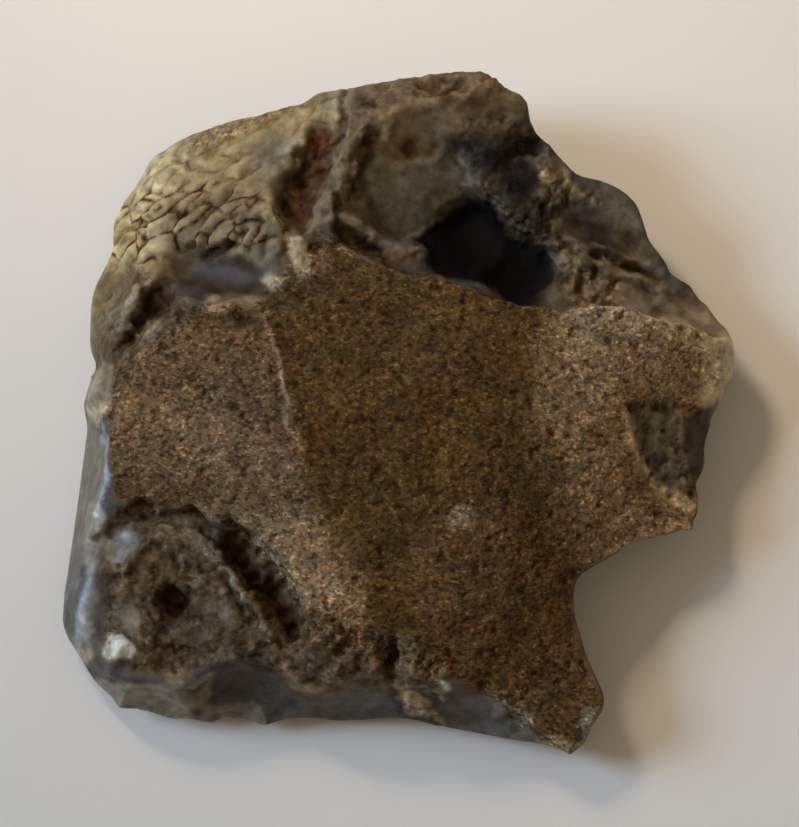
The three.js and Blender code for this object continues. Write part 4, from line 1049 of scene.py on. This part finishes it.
def surface_shares(points, normals):
    """How far each kind of surface holds at each point, from 0 to 1."""
    xy = ragged(points, 0.5, 2.6, 11)
    up = upward(normals)
    cortex = zone(xy, CORTEX, 0.15)
    patches = ramp(noise(points, 3.0, 51), -0.2, 0.6)
    near_edge = ramp(-np.abs(inside_distance(xy, CORTEX)), -1.3, -0.2) * cortex
    uneven = up * (1 - strongest(xy, SMOOTH))
    return {
        "cortex": cortex * up,
        "crumbly": np.maximum(strongest(xy, CRUMBLY), 0.5 * near_edge * patches) * uneven,
        "wrinkled": strongest(xy, WRINKLY) * uneven,
        "rough": strongest(xy, ROUGH) * uneven,
        "sandy": strongest(xy, SANDY) * (1 - strongest(xy, SANDLESS)) * uneven,
        "mottled": strongest(xy, MOTTLED) * uneven,
    }


def levelled(points, normals):
    """Brings each shallow hollow most of the way to the plane that fits it best."""
    points = points.copy()
    for strength, soft, outline in LEVELLED:
        share = zone(points[:, :2], outline, soft) * upward(normals, 0.1, 0.5)
        near = share > 0.5
        sides = np.column_stack([points[near, :2], np.ones(near.sum())])
        plane = np.linalg.lstsq(sides, points[near, 2], rcond=None)[0]
        height = points[:, :2] @ plane[:2] + plane[2]
        points[:, 2] += strength * share * (height - points[:, 2])
    return points


def carve(points, normals):
    """Cuts the creases, ridges, hollows, lumps and ledges into the upward surfaces."""
    xy = ragged(points, 0.28, 1.3, 21) + ragged(points, 0.14, 0.5, 23) - points[:, :2]
    uneven = 0.8 + 0.45 * noise(points, 0.9, 27, 2)
    rise = np.zeros(len(points))
    for depth, width, line in CREASES:
        near = close_to(xy, line, 8 * width)
        distance, place, _ = along_line(xy[near], line)
        ends = ramp(place, -0.02, 0.16) * ramp(1 - place, -0.02, 0.16)
        groove = np.exp(-(distance / width) ** 2) - 0.22 * np.exp(-(distance / width - 2) ** 2)
        rise[near] -= depth * (0.35 + 0.65 * ends) * groove
    for height, width, line in RIDGES:
        near = close_to(xy, line, 6 * width)
        distance, place, _ = along_line(xy[near], line)
        ends = ramp(place, -0.05, 0.2) * ramp(1 - place, -0.05, 0.2)
        rise[near] += height * (0.3 + 0.7 * ends) * np.exp(-(distance / width) ** 2)
    for at, size, depth, turn in HOLLOWS:
        rise -= depth * (1 - ramp(oval(xy, at, size, turn), 0.3, 1.2))
    for at, size, height, turn in LUMPS:
        out = oval(xy, at, size, turn)
        rise += height * (1 - ramp(out, 0.25, 1.15))
    for height, run, line in LEDGES:
        distance, place, side = along_line(xy, line)
        ends = ramp(place, 0, 0.12) * ramp(1 - place, 0, 0.12)
        step = ramp(side * distance, -0.12, 0.12) * np.exp(-distance / run)
        rise += height * ends * step
    return points + (rise * uneven * upward(normals, 0.0, 0.35))[:, None] * normals


# ------------------------------------------------------------------ node trees

class Tree:
    """Short ways to add nodes to a tree and join them."""

    def __init__(self, tree):
        self.tree = tree

    def add(self, kind, inputs=(), output=0, **settings):
        node = self.tree.nodes.new(kind)
        for name, value in settings.items():
            setattr(node, name, value)
        for key, value in dict(inputs).items():
            socket = node.inputs[key]
            if isinstance(value, bpy.types.NodeSocket):
                self.tree.links.new(value, socket)
            else:
                socket.default_value = value
        return node.outputs[output]

    def math(self, operation, a, b=0.0, c=0.0):
        return self.add("ShaderNodeMath", {0: a, 1: b, 2: c}, operation=operation)

    def vector(self, operation, a, b=(0, 0, 0)):
        return self.add("ShaderNodeVectorMath", {0: a, 1: b}, operation=operation)

    def scaled(self, a, factor):
        return self.add("ShaderNodeVectorMath", {0: a, "Scale": factor}, operation="SCALE")

    def spread(self, value, low, high, to_low=0.0, to_high=1.0):
        return self.add("ShaderNodeMapRange", {0: value, 1: low, 2: high, 3: to_low, 4: to_high},
                        clamp=True)

    def share(self, name):
        return self.add("GeometryNodeInputNamedAttribute", {"Name": name}, data_type="FLOAT")


def new_geometry_tree(name, sizes):
    """A Geometry Nodes tree with a geometry input and named inputs for its sizes."""
    tree = bpy.data.node_groups.new(name, "GeometryNodeTree")
    face = tree.interface
    face.new_socket("Geometry", in_out="INPUT", socket_type="NodeSocketGeometry")
    for size in sizes:
        face.new_socket(size, in_out="INPUT", socket_type="NodeSocketFloat")
    face.new_socket("Material", in_out="INPUT", socket_type="NodeSocketMaterial")
    face.new_socket("Geometry", in_out="OUTPUT", socket_type="NodeSocketGeometry")
    kit = Tree(tree)
    start = tree.nodes.new("NodeGroupInput")
    finish = tree.nodes.new("NodeGroupOutput")
    return kit, {socket.name: socket for socket in start.outputs if socket.name}, finish


def finish_geometry(kit, geometry, material, finish):
    """Ends a tree: real geometry, with its material, to the output."""
    real = kit.add("GeometryNodeRealizeInstances", {"Geometry": geometry})
    done = kit.add("GeometryNodeSetMaterial", {"Geometry": real, "Material": material})
    kit.tree.links.new(done, finish.inputs[0])


def run_tree(piece, tree, values):
    """Runs a tree on the piece with these named inputs, and leaves a plain mesh."""
    modifier = piece.modifiers.new(tree.name, "NODES")
    modifier.node_group = tree
    for item in tree.interface.items_tree:
        if item.in_out == "INPUT" and item.name in values:
            modifier[item.identifier] = values[item.name]
    apply_modifiers(piece)


def crumb_tree():
    """Angular crumbs of all sizes, sunk into the crumbly places."""
    kit, given, finish = new_geometry_tree("flint_crumbs", ["Spacing", "Radius"])
    spread = kit.add("GeometryNodeDistributePointsOnFaces", {
        "Mesh": given["Geometry"], "Distance Min": given["Spacing"], "Density Max": 3.2,
        "Density Factor": kit.share("crumbly"), "Seed": 5}, distribute_method="POISSON")
    ball = kit.add("GeometryNodeMeshIcoSphere", {"Radius": given["Radius"], "Subdivisions": 2})
    dent = kit.add("FunctionNodeRandomValue", {0: (-0.3, -0.3, -0.3), 1: (0.3, 0.3, 0.3),
                                               "Seed": 8}, data_type="FLOAT_VECTOR")
    shift = kit.add("ShaderNodeVectorMath", {0: dent, "Scale": given["Radius"]},
                    operation="SCALE")
    crumb = kit.add("GeometryNodeSetPosition", {"Geometry": ball, "Offset": shift})
    turn = kit.add("FunctionNodeRandomValue", {0: (0, 0, 0), 1: (6.28, 6.28, 6.28), "Seed": 3},
                   data_type="FLOAT_VECTOR")
    size = kit.add("FunctionNodeRandomValue", {2: 0.0, 3: 1.0, "Seed": 4}, output=1,
                   data_type="FLOAT")
    size = kit.spread(kit.math("POWER", size, 2.2), 0, 1, 0.3, 1.0)
    placed = kit.add("GeometryNodeInstanceOnPoints", {
        "Points": spread, "Instance": crumb, "Rotation": turn, "Scale": size})
    joined = kit.tree.nodes.new("GeometryNodeJoinGeometry")
    for geometry in (placed, given["Geometry"]):
        kit.tree.links.new(geometry, joined.inputs[0])
    finish_geometry(kit, joined.outputs[0], given["Material"], finish)
    return kit.tree


def crease_distance(kit, place, size):
    """How far each point is from the creases between long cushions, in mm."""
    drift = kit.add("ShaderNodeTexNoise", {
        "Vector": place, "Scale": kit.math("DIVIDE", 0.35, size), "Detail": 2.0}, output=1)
    drift = kit.scaled(kit.vector("SUBTRACT", drift, (0.5, 0.5, 0.5)),
                       kit.math("MULTIPLY", size, 1.6))
    turned = kit.add("ShaderNodeVectorRotate", {
        "Vector": kit.vector("ADD", place, drift), "Angle": math.radians(-32)},
        rotation_type="Z_AXIS")
    long = kit.vector("MULTIPLY", turned, (0.48, 1.0, 0.7))
    cells = kit.add("ShaderNodeTexVoronoi", {
        "Vector": long, "Scale": kit.math("DIVIDE", 1.0, size)}, feature="DISTANCE_TO_EDGE")
    return kit.math("MULTIPLY", cells, size)


def relief_tree():
    """Wrinkles, rough lumps and sand grains, each where its kind of surface is."""
    kit, given, finish = new_geometry_tree("flint_relief", [
        "Wrinkle spacing", "Wrinkle depth", "Lump size", "Lump depth", "Grain size",
        "Grain depth"])
    place = kit.add("GeometryNodeInputPosition")

    def waves(where, size, detail=2.0, rough=0.5, seed=0.0):
        moved = kit.vector("ADD", where, (seed, seed * 1.7, 0.0))
        return kit.add("ShaderNodeTexNoise", {
            "Vector": moved, "Scale": kit.math("DIVIDE", 1.0, size), "Detail": detail,
            "Roughness": rough})

    crease = crease_distance(kit, place, given["Wrinkle spacing"])
    cushion = kit.spread(crease, 0.0, 0.32, -1.0, 0.25)
    broad = kit.spread(waves(place, 2.6, 2.0, 0.5, 60.0), 0.38, 0.62, 0.0, 1.15)
    wrinkle = kit.math("MULTIPLY", kit.math("MULTIPLY", cushion, broad), given["Wrinkle depth"])
    rise = kit.math("MULTIPLY", wrinkle, kit.share("wrinkled"))

    lumps = kit.math("SUBTRACT", waves(place, given["Lump size"], 4.0, 0.62, 3.0), 0.5)
    folds = kit.math("ABSOLUTE", kit.math("SUBTRACT", waves(
        place, kit.math("MULTIPLY", given["Lump size"], 1.3), 2.0, 0.5, 33.0), 0.5))
    folds = kit.spread(folds, 0.0, 0.09, -0.35, 0.1)
    lumps = kit.math("MULTIPLY_ADD", lumps, 2.4, folds)
    lumps = kit.math("MULTIPLY", lumps, given["Lump depth"])
    rise = kit.math("MULTIPLY_ADD", lumps, kit.share("rough"), rise)

    fine = kit.math("SUBTRACT", waves(place, given["Grain size"], 2.0, 0.6, 4.0), 0.5)
    swell = kit.math("SUBTRACT", waves(place, kit.math("MULTIPLY", given["Grain size"], 6.0),
                                       3.0, 0.55, 14.0), 0.5)
    pits = kit.spread(waves(place, kit.math("MULTIPLY", given["Grain size"], 2.2), 1.0, 0.5,
                            24.0), 0.57, 0.70, 0.0, -1.3)
    grains = kit.math("ADD", kit.math("MULTIPLY", fine, 2.4), kit.math("MULTIPLY", swell, 4.5))
    grains = kit.math("MULTIPLY", kit.math("ADD", grains, pits), given["Grain depth"])
    rise = kit.math("MULTIPLY_ADD", grains, kit.share("cortex"), rise)

    offset = kit.scaled(kit.add("GeometryNodeInputNormal"), rise)
    moved = kit.add("GeometryNodeSetPosition", {
        "Geometry": given["Geometry"], "Offset": offset})
    finish_geometry(kit, moved, given["Material"], finish)
    return kit.tree


def ripple_tree():
    """Rings spreading over a struck face from the point where it was struck."""
    kit, given, finish = new_geometry_tree("flint_ripples", [
        "Strike x", "Strike y", "Strike z", "Spacing", "Depth"])
    point = kit.add("ShaderNodeCombineXYZ", {
        0: given["Strike x"], 1: given["Strike y"], 2: given["Strike z"]})
    place = kit.add("GeometryNodeInputPosition")
    away = kit.add("ShaderNodeVectorMath", {0: place, 1: point}, output=1,
                   operation="DISTANCE")
    drift = kit.add("ShaderNodeTexNoise", {"Vector": place, "Scale": 0.12, "Detail": 1.0})
    away = kit.math("MULTIPLY_ADD", drift, 3.0, away)
    phase = kit.math("DIVIDE", away, given["Spacing"])
    wave = kit.math("SINE", kit.math("MULTIPLY", phase, math.tau))
    fade = kit.spread(kit.add("ShaderNodeTexNoise", {
        "Vector": place, "Scale": 0.25, "Detail": 1.0}), 0.35, 0.65, 0.2, 1.0)
    rise = kit.math("MULTIPLY", kit.math("MULTIPLY", wave, fade), given["Depth"])
    rise = kit.math("MULTIPLY", rise, kit.share("struck"))
    offset = kit.scaled(kit.add("GeometryNodeInputNormal"), rise)
    moved = kit.add("GeometryNodeSetPosition", {
        "Geometry": given["Geometry"], "Offset": offset})
    finish_geometry(kit, moved, given["Material"], finish)
    return kit.tree


def reduce_faces(piece, faces, hidden):
    """Joins faces until few enough are left, more of them where hidden is near 1."""
    triangles = sum(len(p.vertices) - 2 for p in piece.data.polygons)
    if triangles <= faces:
        return
    group = piece.vertex_groups.new(name="hidden")
    for step in range(5):
        chosen = np.flatnonzero(np.round(hidden * 4) == step)
        group.add(chosen.tolist(), (step + 1) / 5, "REPLACE")
    squeeze = piece.modifiers.new("squeeze", "DECIMATE")
    squeeze.vertex_group = group.name
    squeeze.vertex_group_factor = HIDDEN_WEIGHT
    squeeze.ratio = faces / triangles
    squeeze.use_collapse_triangulate = True
    apply_modifiers(piece)


# ------------------------------------------------------------------ colours

def painted(points, normals):
    """The stone's colour at each point, in linear RGB."""
    near = ragged(points, 0.3, 1.5, 61) + ragged(points, 0.7, 4.0, 63) - points[:, :2]
    up = upward(normals, -0.25, 0.1)
    up = np.maximum(up, zone(near, LOW_L, 0.5) * ramp(points[:, 2], 2.5, 3.5))
    tint = np.tile(COLOURS["flint"], (len(points), 1)).astype(float)

    def lay(colour, share):
        share = np.clip(share, 0, 1)[:, None]
        tint[:] = tint * (1 - share) + np.array(COLOURS[colour]) * share

    for colour, soft, strength, outline in AREAS:
        lay(colour, strength * zone(near, outline, soft) * up)
    for colour, width, strength, line in STREAKS:
        beside = close_to(near, line, width)
        distance, place, _ = along_line(near[beside], line)
        ends = ramp(place, -0.1, 0.15) * ramp(1 - place, -0.1, 0.15)
        share = np.zeros(len(near))
        share[beside] = (0.3 + 0.7 * ends) * (1 - ramp(distance, 0.4 * width, width))
        lay(colour, strength * share * up)
    for colour, strength, at, size, turn in SPOTS:
        lay(colour, strength * (1 - ramp(oval(near, at, size, turn), 0.55, 1.15)) * up)
    depth = 1 + 0.2 * noise(points, 3.2, 71, 2)
    warmth = noise(points, 5.0, 73, 2)
    shade = np.stack([1 + 0.07 * warmth, np.ones(len(points)), 1 - 0.16 * warmth], axis=1)
    return np.clip(tint * depth[:, None] * shade, 0, 1)


# ------------------------------------------------------------------ the material

class Finish(Tree):
    """A material's nodes, with short ways to lay colours over each other."""

    def __init__(self, material):
        material.use_nodes = True
        super().__init__(material.node_tree)
        self.shader = material.node_tree.nodes["Principled BSDF"]
        self.place = self.scaled(self.add("ShaderNodeTexCoord", output=3), 1 / MM)

    def waves(self, size, detail=2.0, rough=0.5, seed=0.0, stretch=(1, 1, 1)):
        """Noise in lumps of the given size in mm."""
        moved = self.vector("ADD", self.vector("MULTIPLY", self.place, stretch), (seed, 0, seed))
        return self.add("ShaderNodeTexNoise", {
            "Vector": moved, "Scale": 1 / size, "Detail": detail, "Roughness": rough})

    def share(self, name):
        """A number that is stored on the mesh."""
        return self.add("ShaderNodeAttribute", output=2, attribute_name=name)

    def times(self, a, b):
        return self.math("MULTIPLY", a, b)

    def mix(self, factor, a, b, blend="MIX"):
        """Colour b over colour a by a factor, or multiplied into it."""
        if isinstance(b, tuple):
            b = (*b, 1)
        return self.add("ShaderNodeMix", {0: factor, 6: a, 7: b}, output=2, data_type="RGBA",
                        blend_type=blend)

    def toned(self, colour, factor, gain):
        """The colour multiplied by a gain where the factor holds."""
        return self.mix(factor, colour, self.mix(1.0, colour, gain, "MULTIPLY"))

    def shaded(self, colour, value):
        """The colour multiplied by one value at each point."""
        grey = self.add("ShaderNodeCombineColor", {0: value, 1: value, 2: value})
        return self.mix(1.0, colour, grey, "MULTIPLY")


def sand_grains(kit, colour, sandy):
    """Ochre, red, dark and pale grains a few tenths of a millimetre long, and soft patches."""
    grain = (0.75, 1.0, 1.0)
    dark = kit.spread(kit.waves(0.30, 2.0, 0.6, 0.0, grain), 0.36, 0.54, 1.0, 0.0)
    ochre = kit.spread(kit.waves(0.42, 2.0, 0.6, 7.0, grain), 0.50, 0.62)
    red = kit.spread(kit.waves(0.5, 1.0, 0.5, 27.0, grain), 0.60, 0.68)
    pale = kit.spread(kit.waves(0.26, 1.0, 0.5, 13.0, grain), 0.60, 0.68)
    colour = kit.shaded(colour, kit.spread(kit.waves(1.1, 4.0, 0.62, 19.0), 0.32, 0.68, 0.62, 1.38))
    for grains, strength, gain in (
            (ochre, 0.7, (1.65, 1.5, 1.15)), (red, 0.5, (1.3, 0.75, 0.5)),
            (dark, 0.85, (0.28, 0.22, 0.2)), (pale, 0.7, (2.6, 2.5, 2.3))):
        colour = kit.toned(colour, kit.times(grains, kit.times(sandy, strength)), gain)
    return colour


def clouds(kit, colour, bare):
    """Faint cloudiness in bare flint."""
    cloud = kit.spread(kit.waves(1.3, 4.0, 0.65, 31.0), 0.3, 0.7, 0.82, 1.18)
    return kit.mix(bare, colour, kit.shaded(colour, cloud))


def patches(kit, colour, mottled):
    """Dark and pale patches of the rough flint."""
    deep = kit.times(kit.spread(kit.waves(1.5, 3.0, 0.6, 81.0), 0.47, 0.58), mottled)
    faded = kit.times(kit.spread(kit.waves(0.9, 3.0, 0.6, 91.0), 0.54, 0.64), mottled)
    colour = kit.toned(colour, kit.times(deep, 0.8), (0.32, 0.30, 0.26))
    return kit.toned(colour, kit.times(faded, 0.6), (1.9, 1.85, 1.7))


def rusty_cracks(kit, colour, wrinkled):
    """Brown cracks between the wrinkles, with a stain on either side."""
    spacing = bpy.context.scene.flint_sizes.wrinkle_spacing / MM
    crease = crease_distance(kit, kit.place, spacing)
    broken = kit.spread(kit.waves(1.2, 2.0, 0.6, 71.0), 0.35, 0.55)
    crack = kit.times(kit.spread(crease, 0.04, 0.14, 1.0, 0.0), broken)
    stain = kit.times(kit.spread(crease, 0.0, 0.5, 0.55, 0.0), broken)
    colour = kit.toned(colour, kit.times(stain, wrinkled), (0.62, 0.46, 0.3))
    return kit.toned(colour, kit.times(crack, kit.spread(wrinkled, 0.2, 0.9)), (0.26, 0.13, 0.07))


def shade_in_hollows_and_edge_highlights(kit, colour, hollow):
    """Painted shade, darker and browner, in the hollows, and painted highlights that lighten the
    edges.
    """
    # painted shade: the hollows darkened and browned
    hollow_shade = kit.times(kit.spread(hollow, 0.12, 0.75), 0.75)
    colour = kit.toned(colour, hollow_shade, (0.42, 0.26, 0.15))
    # painted highlights: the edges lightened
    edge_highlight = kit.times(kit.spread(hollow, -0.1, -0.7), 0.45)
    return kit.toned(colour, edge_highlight, (1.45, 1.45, 1.45))


def roughness(kit, bare, wrinkled, matt):
    """Bare flint is glossiest, wrinkled and matt flint less so, and cortex least."""
    dull = kit.math("MAXIMUM", wrinkled, kit.times(matt, 0.8))
    smooth = kit.times(bare, kit.math("SUBTRACT", 1.0, dull))
    rough = kit.math("SUBTRACT", 0.86, kit.times(smooth, 0.46))
    return kit.math("SUBTRACT", rough, kit.times(kit.times(bare, wrinkled), 0.22))


def fine_grain(kit, sandy, bare, wrinkled, rough):
    """A bump for grain too fine for the mesh."""
    grain = kit.times(kit.waves(0.22, 3.0, 0.7, 41.0), sandy)
    rugged = kit.math("MULTIPLY_ADD", kit.math("MAXIMUM", wrinkled, rough), 1.6, 0.25)
    skin = kit.times(kit.waves(0.9, 6.0, 0.65, 47.0), kit.times(bare, rugged))
    return kit.add("ShaderNodeBump", {
        "Height": kit.math("ADD", grain, skin), "Strength": 0.7, "Distance": 0.12 * MM})


def flint_material():
    """Flint and its cortex: the painted tint with grains, patches, cracks, painted shade and
    highlights, and gloss.
    """
    material = bpy.data.materials.new("flint")
    kit = Finish(material)
    wrinkled = kit.share("wrinkled")
    sandy = kit.share("sandy")
    bare = kit.math("SUBTRACT", 1.0, sandy)
    colour = kit.add("ShaderNodeAttribute", output=0, attribute_name="tint")
    colour = sand_grains(kit, colour, sandy)
    colour = clouds(kit, colour, bare)
    colour = patches(kit, colour, kit.share("mottled"))
    colour = rusty_cracks(kit, colour, wrinkled)
    # painted shade in the hollows and painted highlights on the edges
    colour = shade_in_hollows_and_edge_highlights(kit, colour, kit.share("hollow"))
    link = material.node_tree.links.new
    link(colour, kit.shader.inputs["Base Color"])
    link(roughness(kit, bare, wrinkled, kit.share("matt")), kit.shader.inputs["Roughness"])
    kit.shader.inputs["Specular IOR Level"].default_value = 0.11
    bump = fine_grain(kit, sandy, bare, wrinkled, kit.share("rough"))
    link(bump, kit.shader.inputs["Normal"])
    return material


# ------------------------------------------------------------------ making the flake

def store_shares(mesh, points, normals):
    """Stores how far each kind of surface holds on a mesh."""
    for name, values in surface_shares(points, normals).items():
        store(mesh, name, values)


def rough_form(sizes):
    """The solid with its facets smoothed and its creases, ridges and hollows cut."""
    piece = stone_blank(sizes.blank_cell / MM)
    mesh = piece.data
    sheet = Sheet(mesh)
    points = sheet.soften(points_of(mesh), **FACET_SMOOTHING)
    normals = sheet.point_normals(points)
    points = levelled(points, normals)
    xy = points[:, :2]
    loose = np.maximum.reduce([share * zone(xy, outline, 0.8) for share, outline in ROUNDED])
    points = sheet.relaxed(points, loose * upward(normals), ROUNDING_ROUNDS)
    points = carve(points, sheet.point_normals(points))
    move_points(mesh, points)
    store_shares(mesh, points, sheet.point_normals(points))
    return piece


def add_crumbs(piece, sizes, material):
    """Sticks crumbs on the crumbly places and melts them into the stone."""
    run_tree(piece, crumb_tree(), {
        "Spacing": sizes.crumb_spacing / MM, "Radius": sizes.crumb_radius / MM,
        "Material": material})
    remeshed(piece, sizes.mesh_cell / MM)
    mesh = piece.data
    sheet = Sheet(mesh)
    points = sheet.relaxed(points_of(mesh), np.ones(sheet.points), SETTLING_ROUNDS)
    move_points(mesh, points)
    normals = sheet.point_normals(points)
    store_shares(mesh, points, normals)
    store(mesh, "struck", 1 - upward(normals, -0.5, -0.2))


def add_relief(piece, sizes, material):
    """Raises the wrinkles, lumps, grains and rings, and thins the mesh."""
    run_tree(piece, relief_tree(), {
        "Wrinkle spacing": sizes.wrinkle_spacing / MM,
        "Wrinkle depth": sizes.wrinkle_depth / MM,
        "Lump size": sizes.lump_size / MM, "Lump depth": sizes.lump_depth / MM,
        "Grain size": sizes.grain_size / MM, "Grain depth": sizes.grain_depth / MM,
        "Material": material})
    run_tree(piece, ripple_tree(), {
        "Strike x": STRIKE[0], "Strike y": STRIKE[1], "Strike z": STRIKE[2],
        "Spacing": sizes.ripple_spacing / MM, "Depth": sizes.ripple_depth / MM,
        "Material": material})
    sheet = Sheet(piece.data)
    hidden = 1 - upward(sheet.point_normals(points_of(piece.data)), -0.6, 0.2)
    reduce_faces(piece, sizes.faces, hidden)
    piece.vertex_groups.clear()


def paint(piece):
    """Stores the tint and the shares that the material reads."""
    mesh = piece.data
    points = points_of(mesh)
    points[:, 2] = np.maximum(points[:, 2], 0)
    move_points(mesh, points)
    sheet = Sheet(mesh)
    normals = sheet.point_normals(points)
    around = np.stack([sheet.blurred(points[:, k], HOLLOW_ROUNDS) for k in range(3)], axis=1)
    height = np.sum((points - around) * normals, axis=1)
    store(mesh, "tint", painted(points, normals))
    shares = surface_shares(points, normals)
    for name in ("wrinkled", "rough", "sandy", "mottled"):
        store(mesh, name, shares[name])
    store(mesh, "matt", np.maximum(shares["rough"], zone(points[:, :2], BLACK_G, 0.5)))
    store(mesh, "hollow", np.clip(-height / HOLLOW_DEPTH, -1, 1))


class FLINT_OT_flake(Operator):
    """Builds the flake with its relief and colours, in place of the plain solid"""
    bl_idname = "flint.flake"
    bl_label = "Flint flake"

    def execute(self, context):
        sizes = context.scene.flint_sizes
        piece = rough_form(sizes)
        material = flint_material()
        add_crumbs(piece, sizes, material)
        add_relief(piece, sizes, material)
        paint(piece)
        mesh = piece.data
        mesh.transform(Matrix.Scale(MM, 4))
        mesh.name = PIECE
        mesh.shade_smooth()
        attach(piece, "root")
        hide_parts(NODE)
        return {"FINISHED"}


# ------------------------------------------------------------------ stage

CAMERA_DISTANCE = 420 * MM
CAMERA_HEIGHT = 80          # degrees above the horizon
CAMERA_TARGET = Vector((0, 0, 6.5 * MM))
IMAGE_ROWS = 827
PIXELS_PER_MM = 12.3        # at the target
SENSOR = 24
FLOOR_HALF = 1.5            # half the floor's width in metres
AIR_COLOUR = (0.25, 0.2, 0.14, 1)
# Lights: name, compass, height, distance, size, power, colour, target, spread in degrees.
LIGHTS = [
    ("window", 170, 30, 0.9, 0.42, 6.1, (0.6, 0.78, 1.0), Vector((0, 0, 0)), 180),
    ("lamp", 130, 46, 0.3, 0.08, 0.03, (1.0, 0.8, 0.57), Vector((0.0, 0.055, 0)), 36),
]


def direction(compass, height):
    """Unit vector toward a compass direction, counter-clockwise from +X, and a height."""
    a, e = math.radians(compass), math.radians(height)
    return Vector((math.cos(a) * math.cos(e), math.sin(a) * math.cos(e), math.sin(e)))


def aim(item, place, target):
    """Puts a light or camera in place and points it at a target."""
    item.location = place
    item.rotation_euler = (place - target).to_track_quat("Z", "Y").to_euler()


def soft_light(name, compass, height, distance, size, power, colour, target, spread):
    """Makes a round light that shines on a target from a compass direction and a height."""
    light = bpy.data.lights.new(name, "AREA")
    light.shape = "DISK"
    light.size = size
    light.energy = power
    light.color = colour
    light.spread = math.radians(spread)
    item = bpy.data.objects.new(name, light)
    bpy.context.scene.collection.objects.link(item)
    aim(item, target + direction(compass, height) * distance, target)


def make_floor(scene):
    """A plain pale floor under the flake."""
    mesh = bpy.data.meshes.new("floor")
    half = FLOOR_HALF
    mesh.from_pydata([(-half, -half, 0), (half, -half, 0), (half, half, 0), (-half, half, 0)],
                     [], [(0, 1, 2, 3)])
    floor = bpy.data.objects.new("floor", mesh)
    scene.collection.objects.link(floor)
    paper = bpy.data.materials.new("paper")
    paper.use_nodes = True
    shader = paper.node_tree.nodes["Principled BSDF"]
    shader.inputs["Base Color"].default_value = (*scene.flint_colours.floor, 1)
    shader.inputs["Roughness"].default_value = 0.9
    shader.inputs["Specular IOR Level"].default_value = 0.2
    mesh.materials.append(paper)


def make_light(scene):
    """Dim warm light from the room all round, a cool window and a small warm lamp."""
    world = bpy.data.worlds.new("room")
    world.use_nodes = True
    scene.world = world
    air = world.node_tree.nodes["Background"]
    air.inputs["Color"].default_value = AIR_COLOUR
    air.inputs["Strength"].default_value = 1.0
    for light in LIGHTS:
        soft_light(*light)


def make_camera(scene):
    """A camera that looks down on the flake from the front."""
    lens = bpy.data.cameras.new("camera")
    lens.sensor_fit = "VERTICAL"
    lens.sensor_height = SENSOR
    lens.lens = SENSOR * (CAMERA_DISTANCE / MM) * PIXELS_PER_MM / IMAGE_ROWS
    lens.clip_start = 0.01
    lens.clip_end = 10
    camera = bpy.data.objects.new("camera", lens)
    scene.collection.objects.link(camera)
    place = CAMERA_TARGET + direction(-90, CAMERA_HEIGHT) * CAMERA_DISTANCE
    aim(camera, place, CAMERA_TARGET)
    scene.camera = camera


class FLINT_OT_stage(Operator):
    """Makes the floor, the lights and the camera"""
    bl_idname = "flint.stage"
    bl_label = "Stage"

    def execute(self, context):
        make_floor(context.scene)
        make_light(context.scene)
        make_camera(context.scene)
        context.scene.view_settings.view_transform = "Standard"
        return {"FINISHED"}


class FLINT_PT_panel(Panel):
    """The add-on's place in the sidebar"""
    bl_label = "Flint flake"
    bl_idname = "FLINT_PT_panel"
    bl_space_type = "VIEW_3D"
    bl_region_type = "UI"
    bl_category = "Flint"

    def draw(self, context):
        layout = self.layout
        for name in FLINT_PG_sizes.__annotations__:
            layout.prop(context.scene.flint_sizes, name)
        layout.operator(FLINT_OT_flake.bl_idname)
        for name in FLINT_PG_colours.__annotations__:
            layout.prop(context.scene.flint_colours, name)
        layout.operator(FLINT_OT_stage.bl_idname)


CLASSES = (FLINT_PG_sizes, FLINT_PG_colours, FLINT_OT_flake, FLINT_OT_stage, FLINT_PT_panel)


def register():
    for each in CLASSES:
        bpy.utils.register_class(each)
    bpy.types.Scene.flint_sizes = PointerProperty(type=FLINT_PG_sizes)
    bpy.types.Scene.flint_colours = PointerProperty(type=FLINT_PG_colours)


def unregister():
    del bpy.types.Scene.flint_colours
    del bpy.types.Scene.flint_sizes
    for each in reversed(CLASSES):
        bpy.utils.unregister_class(each)


def main():
    register()
    bpy.ops.flint.flake()
    bpy.ops.flint.stage()


if __name__ == "__main__":
    main()
